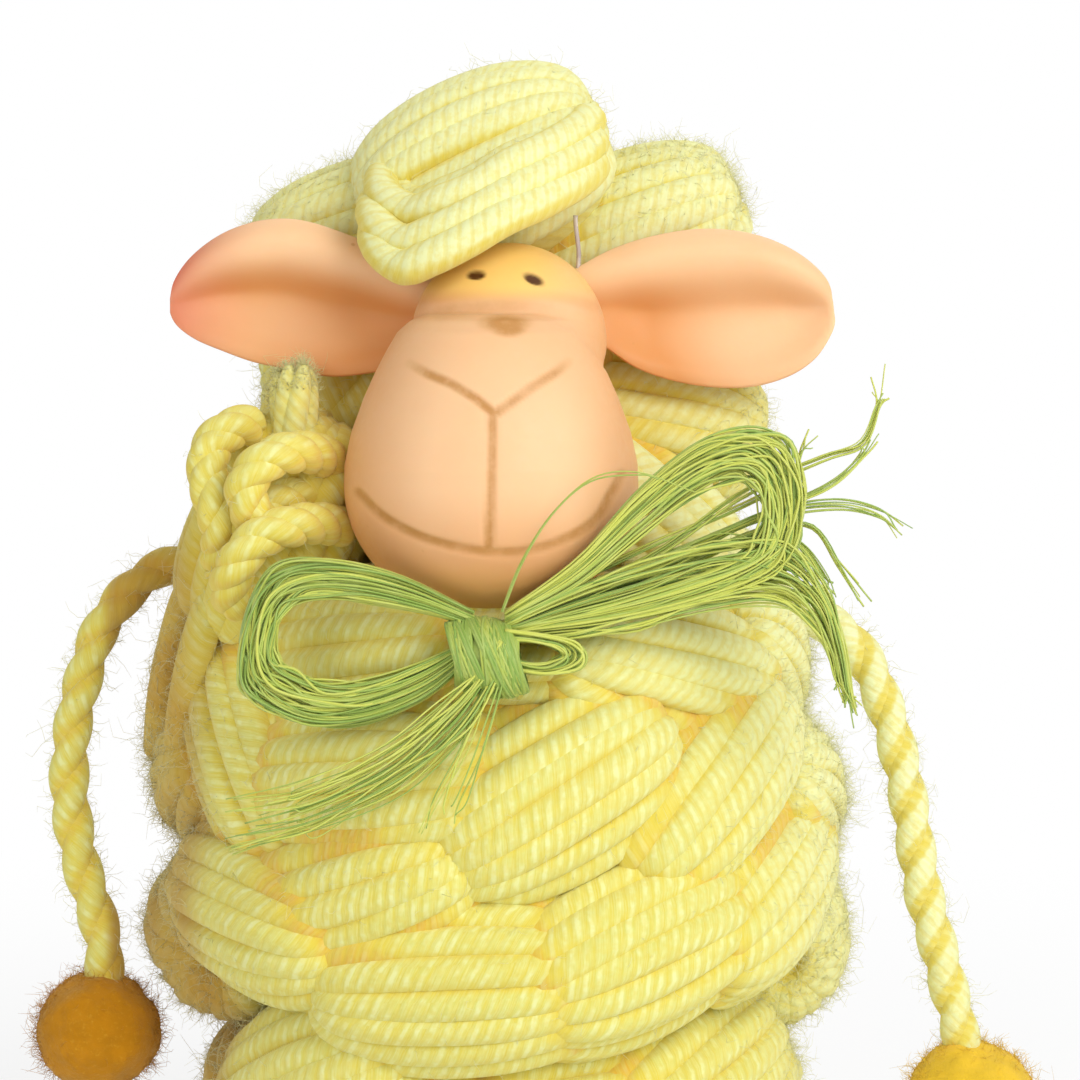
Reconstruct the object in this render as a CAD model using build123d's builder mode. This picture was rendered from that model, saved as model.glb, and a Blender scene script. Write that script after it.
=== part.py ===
from build123d import *
import os
from math import cos, radians, sin, sqrt

os.makedirs("parts", exist_ok=True)

# Millimetres. +Z is up, the figure faces -Y, and +X is the right hand side for someone who faces it.
# The origin is the centre of the flat base, on the floor.

# Fits
seat_gap = 0.3            # between pieces that are sewn or glued against each other
pin_gap = 0.2             # round the dowel in its sockets
cord_gap = 0.6            # round an arm cord where it leaves the yarn
overrun = 5.0             # how far a cutting shape runs past what it cuts

# Shares of the muzzle's radius and rise: half way up its flank, and at the brow where its top begins
flank_shares = (0.88, 0.48)
brow_shares = (0.62, 0.89)

# Shares: how blunt the ends of eggs are, how near two lobes count as neighbours, how much of the
# shorter run a cord's bend takes up, and how round the cut end of the yarn is
egg_end_share = 0.72
lobe_margin_share = 1.12
bend_share = 0.45
stub_round_share = 0.6

# Stuffed body core
core_radius = 30.0
core_base_radius = 27.0
core_waist_height = 52.0
core_height = 108.0
core_base_edge = 2.0

# Rings that the middles of the body hanks lie on
body_half_width = 41.0
body_half_depth = 34.5
body_waist_height = 60.0
body_rise = 74.0
body_drop = 56.0

# Hanks of yarn: half of the length along the strands, and half of the girth across them
hank_half_length = 20.5
hank_half_girth = 16.5

# Ball inside the head
head_radius = 23.0
head_height = 140.0
head_setback = 3.0

# Dowel between body and head
dowel_radius = 4.0
dowel_length = 44.0
dowel_bottom_height = 84.0
dowel_edge = 0.5

# Moulded face
muzzle_radius = 22.2
muzzle_rise = 24.9
muzzle_height = 124.0
muzzle_forward = 31.0
muzzle_shift = -1.0
forehead_radius = 15.0
forehead_height = 144.2
forehead_forward = 24.0
forehead_shift = 1.6
line_width = 1.2
line_depth = 0.35
parting_height = 131.5
nostril_half_width = 11.5
nostril_rise = 6.5
smile_half_width = 19.5
smile_sag = 8.0
smile_height = 118.5
eye_half_width = 1.25
eye_half_height = 0.75
eye_spacing = 8.4
eye_height = 152.5
eye_shift = 1.6

# Moulded ears
ear_length = 38.0
ear_half_width = 12.2
ear_depth = 4.4
ear_wall = 1.8
ear_tip_setback = 2.2
ear_root_spread = 13.5
ear_root_height = 148.0
ear_forward = 21.0

# Bow of fibre
knot_radius = 5.8
knot_half_length = 5.2
knot_wraps = 6
knot_height = 98.0
knot_forward = 48.0
knot_shift = -1.4
bundle_width = 5.0
bundle_depth = 4.6
bundle_edge = 1.2
bundle_tip = 0.6
bundle_split = 2.6
loop_left_length = 34.0
loop_left_half_width = 10.0
loop_right_length = 45.0
loop_right_half_width = 12.0
loop_left_aim = 183.0
loop_right_aim = 24.0
tail_depth = 1.8
tail_root_radius = 2.4
tail_end_radius = 0.9
tail_left_forward = 52.0
tail_right_forward = 43.5

# Cut yarn end and clear thread
stub_radius = 3.4
stub_length = 16.0
stub_shift = -31.0
stub_forward = 26.0
stub_bottom_height = 123.0
thread_radius = 0.45
thread_length = 10.0
thread_shift = 12.1
thread_forward = 21.0
thread_bottom_height = 153.4

# Arms: cords of twisted yarn, and felt balls for hands
cord_radius = 3.2
arm_forward = 5.0
hand_left_radius = 10.0
hand_right_radius = 10.7

# Routes of the arm cords, side and height, from the root inside the shoulder to the hand
arm_left_route = [
    (-42.5, 109.2), (-51.0, 109.2), (-58.4, 105.4), (-63.6, 98.4), (-66.6, 89.8), (-68.4, 80.4),
    (-68.8, 70.8), (-67.2, 61.6), (-64.6, 53.0), (-62.8, 45.4), (-63.4, 39.0),
]
arm_right_route = [
    (41.0, 101.0), (49.5, 101.0), (56.2, 96.6), (60.4, 88.8), (63.4, 79.4), (65.4, 69.4),
    (66.9, 59.4), (69.2, 49.6), (71.9, 40.6), (73.8, 32.8), (74.7, 26.8),
]
hand_left_place = (-64.3, 33.6)
hand_right_place = (75.4, 21.6)


# Ends of the bow's tails, side and height
tail_left_gather = (-5.0, 90.0)
tail_left_ends = [(-41.0, 72.6), (-38.0, 66.0), (-24.0, 65.0), (-8.0, 67.5)]
tail_right_gather = (9.0, 102.0)
tail_right_ends = [(56.8, 137.6), (60.4, 113.6), (54.6, 103.2)]

# Ear stations: place along the ear, height of the upper and the lower edge, strength of the fold, setback
ear_left_shares = [
    (-0.03, 0.25, -0.63, 0.5, 0), (0.12, 0.70, -0.69, 0.9, 0), (0.33, 1.13, -0.72, 1, 0),
    (0.54, 1.19, -0.54, 1, 0), (0.75, 0.94, -0.38, 0.8, 0.4), (0.88, 0.61, -0.17, 0.4, 0.8),
    (0.98, 0.26, 0.10, 0.1, 1),
]
ear_right_shares = [
    (-0.03, 0.35, -0.37, 0.5, 0), (0.12, 0.82, -0.48, 0.9, 0), (0.33, 1.00, -0.78, 1, 0),
    (0.56, 1.04, -0.89, 1, 0), (0.75, 0.89, -0.80, 0.8, 0.4), (0.89, 0.63, -0.59, 0.4, 0.8),
    (0.99, 0.20, -0.18, 0.1, 1),
]

# Section of an ear from its upper to its lower edge, and how far each place lies back:
# a rolled upper edge, a crease under it and a bowl that comes forward again
ear_fold_shares = [(0, 0.50), (0.18, -0.07), (0.32, 0.18), (0.48, 0.91), (0.75, 0.61), (1, 0.25)]

# Body hanks by row: azimuth, height share of the rise or drop from the waist, tilt, length share, girth share
collar_shares = [
    (-64, 0.50, -35, 0.85, 0.85), (-30, 0.49, 8, 0.95, 0.85), (2, 0.50, 0, 0.85, 0.82),
    (37, 0.45, -14, 1.05, 0.88), (80, 0.44, -30, 0.88, 0.80), (128, 0.56, 12, 1.05, 1.0),
    (180, 0.57, -10, 1.05, 1.0), (232, 0.56, 12, 1.05, 1.0),
]
chest_shares = [
    (-58, 0.30, -60, 1.05, 0.95), (-24, 0.23, 4, 1.0, 0.95), (11, 0.22, 30, 1.0, 1.0),
    (46, 0.21, 40, 1.0, 0.92), (90, 0.13, -25, 1.0, 0.9), (137, 0.22, -12, 1.15, 1.05),
    (182, 0.22, 14, 1.15, 1.05), (227, 0.22, -12, 1.15, 1.05), (268, 0.20, 20, 1.0, 0.95),
]
belly_shares = [
    (-52, -0.06, -8, 1.0, 0.95), (-27, 0.03, 18, 0.95, 0.9), (-8, -0.21, 4, 1.1, 0.95),
    (27, -0.13, 20, 1.0, 0.98), (62, -0.02, 30, 0.95, 0.92), (108, -0.18, 12, 1.1, 1.0),
    (156, -0.15, -10, 1.15, 1.05), (204, -0.15, 12, 1.15, 1.05), (258, -0.15, -10, 1.1, 0.98),
]
hem_shares = [
    (-46, -0.58, 26, 1.05, 1.02), (-12, -0.70, 0, 1.0, 1.0), (18, -0.66, 8, 1.0, 1.0),
    (52, -0.60, 18, 1.05, 1.02), (108, -0.66, -10, 1.2, 1.05), (178, -0.66, 8, 1.2, 1.05),
    (248, -0.66, -8, 1.2, 1.05),
]

# Head hanks: name, direction from the middle of the head ball as azimuth and elevation,
# distance share of the head radius, tilt, length share, girth share
head_shares = [
    ("hair_hank_top", -10, 70, 1.36, 24, 0.95, 1.02),
    ("hair_hank_left", -82, 42, 1.26, 18, 0.85, 0.80),
    ("hair_hank_right", 86, 42, 1.22, 22, 0.9, 0.92),
    ("cheek_hank_right", 74, -20, 1.16, -12, 0.85, 0.80),
    ("cheek_hank_left", -74, -16, 1.06, 50, 0.8, 0.78),
    ("shoulder_hank_left", -57, -32, 2.06, 62, 0.9, 0.84),
    ("shoulder_hank_right", 56, -42, 1.52, -40, 0.85, 0.74),
    ("hair_hank_crown", 170, 42, 1.14, 10, 1.1, 1.0),
    ("hair_hank_back_left", 226, -12, 1.08, 16, 1.1, 1.02),
    ("hair_hank_back_right", 138, -12, 1.08, -16, 1.1, 1.02),
]


def ring_share(height):
    """How far out the body's hanks lie at a height, as a share of the widest ring."""
    span = body_rise if height > body_waist_height else body_drop
    return sqrt(1 - ((height - body_waist_height) / span) ** 2)


def body_place(azimuth, height):
    """Where the middle of a body hank lies. Azimuth 0 is the front, +90 the right hand side."""
    share = ring_share(height)
    return Vector(
        body_half_width * share * sin(radians(azimuth)),
        -body_half_depth * share * cos(radians(azimuth)),
        height,
    )


def strand_direction(azimuth, tilt):
    """Along the strands: level round the body, turned by the tilt, up to the right when positive."""
    level = Vector(cos(radians(azimuth)), sin(radians(azimuth)), 0)
    return level * cos(radians(tilt)) + Vector(0, 0, 1) * sin(radians(tilt))


head_centre = Vector(0, head_setback, head_height)


def list_hanks():
    """Each hank's name, middle, strand direction, half length and half girth."""
    hanks = []
    rows = [("collar", collar_shares), ("chest", chest_shares), ("belly", belly_shares), ("hem", hem_shares)]
    for row_name, row_shares in rows:
        for number, (azimuth, height_share, tilt, length_share, girth_share) in enumerate(row_shares, 1):
            span = body_rise if height_share > 0 else body_drop
            height = body_waist_height + height_share * span
            hanks.append((
                f"{row_name}_hank_{number}",
                body_place(azimuth, height),
                strand_direction(azimuth, tilt),
                hank_half_length * length_share,
                hank_half_girth * girth_share,
            ))
    for name, azimuth, elevation, distance_share, tilt, length_share, girth_share in head_shares:
        outward = Vector(
            sin(radians(azimuth)) * cos(radians(elevation)),
            -cos(radians(azimuth)) * cos(radians(elevation)),
            sin(radians(elevation)),
        )
        hanks.append((
            name,
            head_centre + outward * head_radius * distance_share,
            strand_direction(azimuth if abs(azimuth) > 90 else 0, tilt),
            hank_half_length * length_share,
            hank_half_girth * girth_share,
        ))
    return hanks


def egg_arcs(half_length, half_girth):
    """An egg's quarter outline in two arcs: both radii and the place where the arcs meet."""
    end_radius = egg_end_share * min(half_length, half_girth)
    end_middle = half_length - end_radius
    side_radius = (end_middle ** 2 + half_girth ** 2 - end_radius ** 2) / (2 * (half_girth - end_radius))
    side_middle = half_girth - side_radius
    stretch = end_radius / (side_radius - end_radius)
    meeting = (end_middle + end_middle * stretch, -side_middle * stretch)
    return end_radius, side_radius, meeting


def lobe_tangents(half_length, half_girth):
    """A lobe is a ball with a smaller ball in each end: the end's radius, and where a line touches both."""
    end_radius = egg_end_share * half_girth
    end_middle = half_length - end_radius
    lean = (half_girth - end_radius) / end_middle
    rise = sqrt(1 - lean ** 2)
    end_touch = (end_middle + end_radius * lean, end_radius * rise)
    middle_touch = (half_girth * lean, half_girth * rise)
    return end_radius, end_touch, middle_touch


def core_form(grow):
    """The egg of the body core, grown on all sides but the base."""
    base_radius = core_base_radius + grow
    waist_radius = core_radius + grow
    rise = core_height - core_waist_height + grow
    end_radius, side_radius, meeting = egg_arcs(rise, waist_radius)
    with BuildSketch(Plane.XZ) as profile:
        with BuildLine():
            Line((0, 0), (base_radius, 0))
            Line((base_radius, 0), (waist_radius, core_waist_height))
            RadiusArc(
                (waist_radius, core_waist_height),
                (meeting[1], core_waist_height + meeting[0]),
                -side_radius,
            )
            RadiusArc(
                (meeting[1], core_waist_height + meeting[0]),
                (0, core_waist_height + rise),
                -end_radius,
            )
            Line((0, core_waist_height + rise), (0, 0))
        make_face()
    revolve(profile.sketch, axis=Axis.Z)


def head_form(grow):
    """The ball inside the head."""
    with Locations(head_centre):
        Sphere(head_radius + grow)


def face_form(grow):
    """The muzzle, round below and narrower up to a blunt brow, and the round forehead behind it."""
    radius = muzzle_radius + grow
    rise = muzzle_rise + grow
    brow = (radius * brow_shares[0], rise * brow_shares[1])
    brow_drop = rise - brow[1]
    brow_radius = (brow[0] ** 2 + brow_drop ** 2) / (2 * brow_drop)
    muzzle_plane = Plane(
        origin=(muzzle_shift, -muzzle_forward, muzzle_height),
        x_dir=(1, 0, 0),
        z_dir=(0, -1, 0),
    )
    with BuildSketch(muzzle_plane) as profile:
        with BuildLine():
            RadiusArc((0, -radius), (radius, 0), -radius)
            ThreePointArc((radius, 0), (radius * flank_shares[0], rise * flank_shares[1]), brow)
            RadiusArc(brow, (0, rise), -brow_radius)
            Line((0, rise), (0, -radius))
        make_face()
    revolve(profile.sketch, axis=Axis(muzzle_plane.origin, (0, 0, 1)))
    with Locations((forehead_shift, -forehead_forward, forehead_height)):
        Sphere(forehead_radius + grow)


def ear_section(top, bottom, fold, setback):
    """Places down the middle of an ear's wall, as distance back and height."""
    places = []
    for down_share, back_share in ear_fold_shares:
        back = ear_depth * back_share * fold + ear_tip_setback * setback
        places.append((back, top + (bottom - top) * down_share))
    return places


def ear_form(side, shares, grow, folded):
    """A folded petal that runs out to one side, or the plain slab that it fits in."""
    stations = []
    for along, top_share, bottom_share, fold, setback in shares:
        station = Plane(
            origin=(side * (ear_root_spread + ear_length * along), -ear_forward, ear_root_height),
            x_dir=(0, 1, 0),
            z_dir=(side, 0, 0),
        )
        top = side * (ear_half_width * top_share + grow)
        bottom = side * (ear_half_width * bottom_share - grow)
        front = -ear_wall / 2 - grow
        back = ear_depth + ear_wall / 2 + grow
        with BuildSketch(station) as section:
            with BuildLine():
                if folded:
                    middle = ear_section(top, bottom, fold, setback)
                    front_side = [(place - ear_wall / 2, height) for place, height in middle]
                    back_side = [(place + ear_wall / 2, height) for place, height in reversed(middle)]
                    Spline(*front_side)
                    Line(front_side[-1], back_side[0])
                    Spline(*back_side)
                    Line(back_side[-1], front_side[0])
                else:
                    Polyline((front, top), (front, bottom), (back, bottom), (back, top), close=True)
            make_face()
        stations.append(section.sketch)
    loft(stations)


def front_plane(forward):
    """An upright plane that faces the front, whose own X and Y are the figure's X and Z."""
    return Plane(origin=(0, -forward, 0), x_dir=(1, 0, 0), z_dir=(0, -1, 0))


def route_points(route):
    return [Vector(side_place, -arm_forward, height) for side_place, height in route]


def bend_radii(route):
    """As large an arc at each corner as its two runs allow."""
    points = route_points(route)
    radii = []
    for before, corner, after in zip(points, points[1:], points[2:]):
        turn = (corner - before).get_angle(after - corner)
        shorter = min((corner - before).length, (after - corner).length)
        radii.append(bend_share * shorter / (sin(radians(turn / 2)) / cos(radians(turn / 2))))
    return radii


def cord_form(route, radius):
    """A tube along an arm's route, in straight runs joined by tangent arcs."""
    points = route_points(route)
    with BuildLine() as path:
        FilletPolyline(*points, radius=bend_radii(route))
    with BuildSketch(Plane(origin=points[0], z_dir=points[1] - points[0])) as section:
        Circle(radius)
    sweep(section.sketch, path=path.line)


# Seats: the shapes that the hanks are pressed against, grown by the gap
with BuildPart() as core_seat:
    core_form(seat_gap)

with BuildPart() as head_seat:
    head_form(seat_gap)

with BuildPart() as face_seat:
    face_form(seat_gap)

with BuildPart() as ear_left_seat:
    ear_form(-1, ear_left_shares, seat_gap, False)

with BuildPart() as ear_right_seat:
    ear_form(1, ear_right_shares, seat_gap, False)

# Stuffed body core with a socket for the dowel
with BuildPart() as body_core:
    core_form(0)
    fillet(body_core.edges().group_by(Axis.Z)[0], core_base_edge)
    with Locations((0, 0, dowel_bottom_height - pin_gap)):
        Cylinder(
            dowel_radius + pin_gap,
            core_height,
            align=(Align.CENTER, Align.CENTER, Align.MIN),
            mode=Mode.SUBTRACT,
        )
body_core.part.label = "body_core"
export_step(body_core.part, "parts/body_core.step")

# Ball inside the head with a socket for the dowel
with BuildPart() as head_core:
    head_form(0)
    with Locations((0, 0, dowel_bottom_height + dowel_length + pin_gap)):
        Cylinder(
            dowel_radius + pin_gap,
            dowel_length,
            align=(Align.CENTER, Align.CENTER, Align.MAX),
            mode=Mode.SUBTRACT,
        )
head_core.part.label = "head_core"
export_step(head_core.part, "parts/head_core.step")

# Dowel that joins them
with BuildPart() as neck_dowel:
    with Locations((0, 0, dowel_bottom_height)):
        Cylinder(dowel_radius, dowel_length, align=(Align.CENTER, Align.CENTER, Align.MIN))
    chamfer(neck_dowel.edges().filter_by(GeomType.CIRCLE), dowel_edge)
neck_dowel.part.label = "neck_dowel"
export_step(neck_dowel.part, "parts/neck_dowel.step")

# Moulded face, hollowed behind for the head ball, with its incised lines and eyes
with BuildPart() as face_inner:
    face_form(-line_depth)

with BuildPart() as face_lines:
    with BuildSketch(front_plane(0)):
        parting_top = (muzzle_shift, parting_height)
        with BuildLine():
            Line((muzzle_shift, smile_height - smile_sag), parting_top)
            Line(parting_top, (muzzle_shift - nostril_half_width, parting_height + nostril_rise))
            Line(parting_top, (muzzle_shift + nostril_half_width, parting_height + nostril_rise))
            ThreePointArc(
                (muzzle_shift - smile_half_width, smile_height),
                (muzzle_shift, smile_height - smile_sag),
                (muzzle_shift + smile_half_width, smile_height),
            )
        trace(line_width=line_width)
        with Locations((eye_shift - eye_spacing / 2, eye_height), (eye_shift + eye_spacing / 2, eye_height)):
            Ellipse(eye_half_width, eye_half_height)
    extrude(amount=muzzle_forward + muzzle_radius + overrun)
    add(face_inner.part, mode=Mode.SUBTRACT)

with BuildPart() as face:
    face_form(0)
    add(face_lines.part, mode=Mode.SUBTRACT)
    add(head_seat.part, mode=Mode.SUBTRACT)
face.part.label = "face"
export_step(face.part, "parts/face.step")

# Ears, seated against the sides of the face and the head ball
for side_name, side, shares in (("left", -1, ear_left_shares), ("right", 1, ear_right_shares)):
    with BuildPart() as ear:
        ear_form(side, shares, 0, True)
        add(face_seat.part, mode=Mode.SUBTRACT)
        add(head_seat.part, mode=Mode.SUBTRACT)
    ear.part.label = f"ear_{side_name}"
    export_step(ear.part, f"parts/ear_{side_name}.step")


def loop_form(length, half_width, aim, forward):
    """One loop of the bow: a teardrop of fibres that runs out from the knot."""
    plane = Plane(
        origin=(knot_shift, -forward, knot_height),
        x_dir=(cos(radians(aim)), 0, sin(radians(aim))),
        z_dir=(0, -1, 0),
    )
    with BuildSketch(plane) as eye:
        with Locations((length - half_width, 0)):
            Circle(half_width - bundle_width)
        with Locations((length / 2 - bundle_split, 0)):
            Circle(bundle_tip)
        make_hull()
    with BuildSketch(plane) as teardrop:
        with Locations((length - half_width, 0)):
            Circle(half_width)
        with Locations((bundle_width / 2, 0)):
            Circle(bundle_width / 2)
        make_hull()
        add(eye.sketch_local, mode=Mode.SUBTRACT)
    extrude(teardrop.sketch, amount=bundle_depth / 2, both=True)


def tail_form(gather, ends, forward):
    """Strands of fibre that leave the knot together and fan out: one tapered strip to each end."""
    plane = front_plane(forward)
    runs = [((knot_shift, knot_height), tail_root_radius, gather, tail_root_radius)]
    for end in ends:
        runs.append((gather, tail_root_radius, end, tail_end_radius))
    with BuildSketch(plane) as fan:
        for start, start_radius, end, end_radius in runs:
            with BuildSketch(plane, mode=Mode.PRIVATE) as strip:
                with Locations(start):
                    Circle(start_radius)
                with Locations(end):
                    Circle(end_radius)
                make_hull()
            add(strip.sketch_local)
    extrude(fan.sketch, amount=tail_depth / 2, both=True)


# Wrapped knot of the bow: a barrel of turns that lie side by side along X
knot_centre = (knot_shift, -knot_forward, knot_height)
wrap_half_width = knot_half_length / knot_wraps
groove_radius = knot_radius - wrap_half_width
with BuildPart() as bow_knot:
    with BuildSketch(Plane(origin=knot_centre, x_dir=(1, 0, 0), z_dir=(0, -1, 0))):
        with BuildLine():
            Line((-knot_half_length, 0), (-knot_half_length, groove_radius))
            for turn in range(knot_wraps):
                start = -knot_half_length + 2 * wrap_half_width * turn
                ThreePointArc(
                    (start, groove_radius),
                    (start + wrap_half_width, knot_radius),
                    (start + 2 * wrap_half_width, groove_radius),
                )
            Line((knot_half_length, groove_radius), (knot_half_length, 0))
            Line((knot_half_length, 0), (-knot_half_length, 0))
        make_face()
    revolve(axis=Axis(knot_centre, (1, 0, 0)))
bow_knot.part.label = "bow_knot"
export_step(bow_knot.part, "parts/bow_knot.step")

with BuildPart() as knot_seat:
    with Locations(Plane(origin=knot_centre, z_dir=(1, 0, 0))):
        Cylinder(knot_radius + seat_gap, 2 * (knot_half_length + seat_gap))

with BuildPart() as bow_loop_left:
    loop_form(loop_left_length, loop_left_half_width, loop_left_aim, knot_forward)
    fillet(bow_loop_left.edges().filter_by(Axis.Y, reverse=True), bundle_edge)
    add(knot_seat.part, mode=Mode.SUBTRACT)
bow_loop_left.part.label = "bow_loop_left"
export_step(bow_loop_left.part, "parts/bow_loop_left.step")

with BuildPart() as bow_loop_right:
    loop_form(loop_right_length, loop_right_half_width, loop_right_aim, knot_forward)
    fillet(bow_loop_right.edges().filter_by(Axis.Y, reverse=True), bundle_edge)
    add(knot_seat.part, mode=Mode.SUBTRACT)
bow_loop_right.part.label = "bow_loop_right"
export_step(bow_loop_right.part, "parts/bow_loop_right.step")

with BuildPart() as bow_tail_left:
    tail_form(tail_left_gather, tail_left_ends, tail_left_forward)
    add(knot_seat.part, mode=Mode.SUBTRACT)
bow_tail_left.part.label = "bow_tail_left"
export_step(bow_tail_left.part, "parts/bow_tail_left.step")

with BuildPart() as bow_tail_right:
    tail_form(tail_right_gather, tail_right_ends, tail_right_forward)
    add(knot_seat.part, mode=Mode.SUBTRACT)
bow_tail_right.part.label = "bow_tail_right"
export_step(bow_tail_right.part, "parts/bow_tail_right.step")

# Cut yarn end with a rounded top, rooted in the shoulder
with BuildPart() as yarn_stub:
    with Locations((stub_shift, -stub_forward, stub_bottom_height)):
        Cylinder(stub_radius, stub_length, align=(Align.CENTER, Align.CENTER, Align.MIN))
    fillet(yarn_stub.edges().group_by(Axis.Z)[-1], stub_radius * stub_round_share)
yarn_stub.part.label = "yarn_stub"
export_step(yarn_stub.part, "parts/yarn_stub.step")

with BuildPart() as stub_seat:
    with Locations((stub_shift, -stub_forward, stub_bottom_height - seat_gap)):
        Cylinder(stub_radius + seat_gap, stub_length, align=(Align.CENTER, Align.CENTER, Align.MIN))

# Clear thread beside the forehead
with BuildPart() as tie_thread:
    with Locations((thread_shift, -thread_forward, thread_bottom_height)):
        Cylinder(thread_radius, thread_length, align=(Align.CENTER, Align.CENTER, Align.MIN))
    add(face_seat.part, mode=Mode.SUBTRACT)
tie_thread.part.label = "tie_thread"
export_step(tie_thread.part, "parts/tie_thread.step")

with BuildPart() as thread_seat:
    with Locations((thread_shift, -thread_forward, thread_bottom_height - seat_gap)):
        Cylinder(
            thread_radius + seat_gap,
            thread_length + 2 * seat_gap,
            align=(Align.CENTER, Align.CENTER, Align.MIN),
        )

# Arms, and the felt balls that the cords are glued into
arms = [
    ("left", arm_left_route, hand_left_place, hand_left_radius),
    ("right", arm_right_route, hand_right_place, hand_right_radius),
]
arm_seats = []
for side_name, route, hand_place, hand_radius in arms:
    print(f"arm_{side_name}_cord radii", [round(radius, 1) for radius in bend_radii(route)])
    with BuildPart() as arm_cord:
        cord_form(route, cord_radius)
    arm_cord.part.label = f"arm_{side_name}_cord"
    export_step(arm_cord.part, f"parts/arm_{side_name}_cord.step")

    with BuildPart() as hand_ball:
        with Locations((hand_place[0], -arm_forward, hand_place[1])):
            Sphere(hand_radius)
        add(arm_cord.part, mode=Mode.SUBTRACT)
    hand_ball.part.label = f"hand_{side_name}_ball"
    export_step(hand_ball.part, f"parts/hand_{side_name}_ball.step")

    root, first_bend = route_points(route)[:2]
    socket_end = root + (root - first_bend).normalized() * cord_gap
    with BuildPart() as arm_seat:
        with Locations(Plane(origin=socket_end, z_dir=first_bend - root)):
            Cylinder(
                cord_radius + cord_gap,
                (first_bend - root).length + overrun,
                align=(Align.CENTER, Align.CENTER, Align.MIN),
            )
    arm_seats.append(arm_seat.part)

# Hanks of yarn. Each is a plump lobe along its strands, pressed flat where it meets its neighbours
seats = [
    core_seat.part, head_seat.part, face_seat.part, ear_left_seat.part, ear_right_seat.part,
    knot_seat.part, stub_seat.part, thread_seat.part, *arm_seats,
]
bow_back = Plane(
    origin=(0, seat_gap + tail_depth / 2 - tail_right_forward, 0),
    z_dir=(0, -1, 0),
)


def reach(along, half_length, half_girth, direction):
    """How far a lobe reaches from its middle in a direction."""
    lengthwise = along.dot(direction)
    return sqrt((half_length * lengthwise) ** 2 + half_girth ** 2 * (1 - lengthwise ** 2))


hanks = list_hanks()
for name, middle, along, half_length, half_girth in hanks:
    sideways = along.cross(Vector(0, 0, 1)).normalized()
    end_radius, end_touch, middle_touch = lobe_tangents(half_length, half_girth)
    with BuildPart() as hank:
        with BuildSketch(Plane(origin=middle, x_dir=along, z_dir=sideways)):
            with BuildLine():
                RadiusArc((half_length, 0), end_touch, -end_radius)
                Line(end_touch, middle_touch)
                RadiusArc(middle_touch, (-middle_touch[0], middle_touch[1]), -half_girth)
                Line((-middle_touch[0], middle_touch[1]), (-end_touch[0], end_touch[1]))
                RadiusArc((-end_touch[0], end_touch[1]), (-half_length, 0), -end_radius)
                Line((-half_length, 0), (half_length, 0))
            make_face()
        revolve(axis=Axis(middle, along))
        for other_name, other_middle, other_along, other_half_length, other_half_girth in hanks:
            if other_name == name:
                continue
            apart = other_middle - middle
            towards = apart.normalized()
            own_reach = reach(along, half_length, half_girth, towards)
            other_reach = reach(other_along, other_half_length, other_half_girth, towards)
            if apart.length > (own_reach + other_reach) * lobe_margin_share:
                continue
            parting = middle + towards * (apart.length * own_reach / (own_reach + other_reach) - seat_gap / 2)
            split(bisect_by=Plane(origin=parting, z_dir=towards), keep=Keep.BOTTOM)
        if name.startswith("collar"):
            split(bisect_by=bow_back, keep=Keep.BOTTOM)
        for seat in seats:
            if hank.part.bounding_box().overlaps(seat.bounding_box()):
                add(seat, mode=Mode.SUBTRACT)
    hank.part.label = name
    export_step(hank.part, f"parts/{name}.step")
    if len(hank.part.solids()) != 1:
        print(name, "has", len(hank.part.solids()), "solids")
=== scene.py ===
import math

import bpy
import numpy as np
from bpy.props import FloatProperty, FloatVectorProperty, IntProperty, PointerProperty
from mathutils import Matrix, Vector


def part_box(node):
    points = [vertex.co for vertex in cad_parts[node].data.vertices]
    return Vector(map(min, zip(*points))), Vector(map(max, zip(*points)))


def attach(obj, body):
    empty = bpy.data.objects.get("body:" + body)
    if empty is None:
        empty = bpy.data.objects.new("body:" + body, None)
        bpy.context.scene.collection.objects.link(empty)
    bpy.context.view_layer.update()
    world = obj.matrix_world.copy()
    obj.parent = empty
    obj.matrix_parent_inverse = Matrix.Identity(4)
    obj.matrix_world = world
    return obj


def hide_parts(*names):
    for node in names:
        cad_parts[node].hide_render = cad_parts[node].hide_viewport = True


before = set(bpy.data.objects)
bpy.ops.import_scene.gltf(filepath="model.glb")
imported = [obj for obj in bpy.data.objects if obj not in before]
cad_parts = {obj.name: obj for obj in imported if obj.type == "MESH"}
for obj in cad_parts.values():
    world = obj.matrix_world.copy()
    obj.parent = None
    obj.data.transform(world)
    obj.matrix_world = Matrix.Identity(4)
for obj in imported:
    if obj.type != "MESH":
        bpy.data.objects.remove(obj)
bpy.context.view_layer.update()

bl_info = {
    "name": "Yarn Sheep Figurine",
    "version": (1, 0, 0),
    "blender": (4, 5, 0),
    "location": "3D View > Sidebar > Yarn Sheep",
    "description": "Builds a craft sheep of yarn hanks with a moulded clay face and a fibre bow",
    "category": "Add Mesh",
}

# Sizes below are in metres. A table in millimetres is turned into metres with this
mm = 0.001


def a_length(label, default, description):
    """A size in metres."""
    return FloatProperty(name=label, description=description, default=default, unit="LENGTH")


def a_colour(label, red, green, blue, description):
    """A plain colour."""
    default = (red, green, blue, 1)
    return FloatVectorProperty(name=label, description=description, default=default, size=4, subtype="COLOR")


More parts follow.
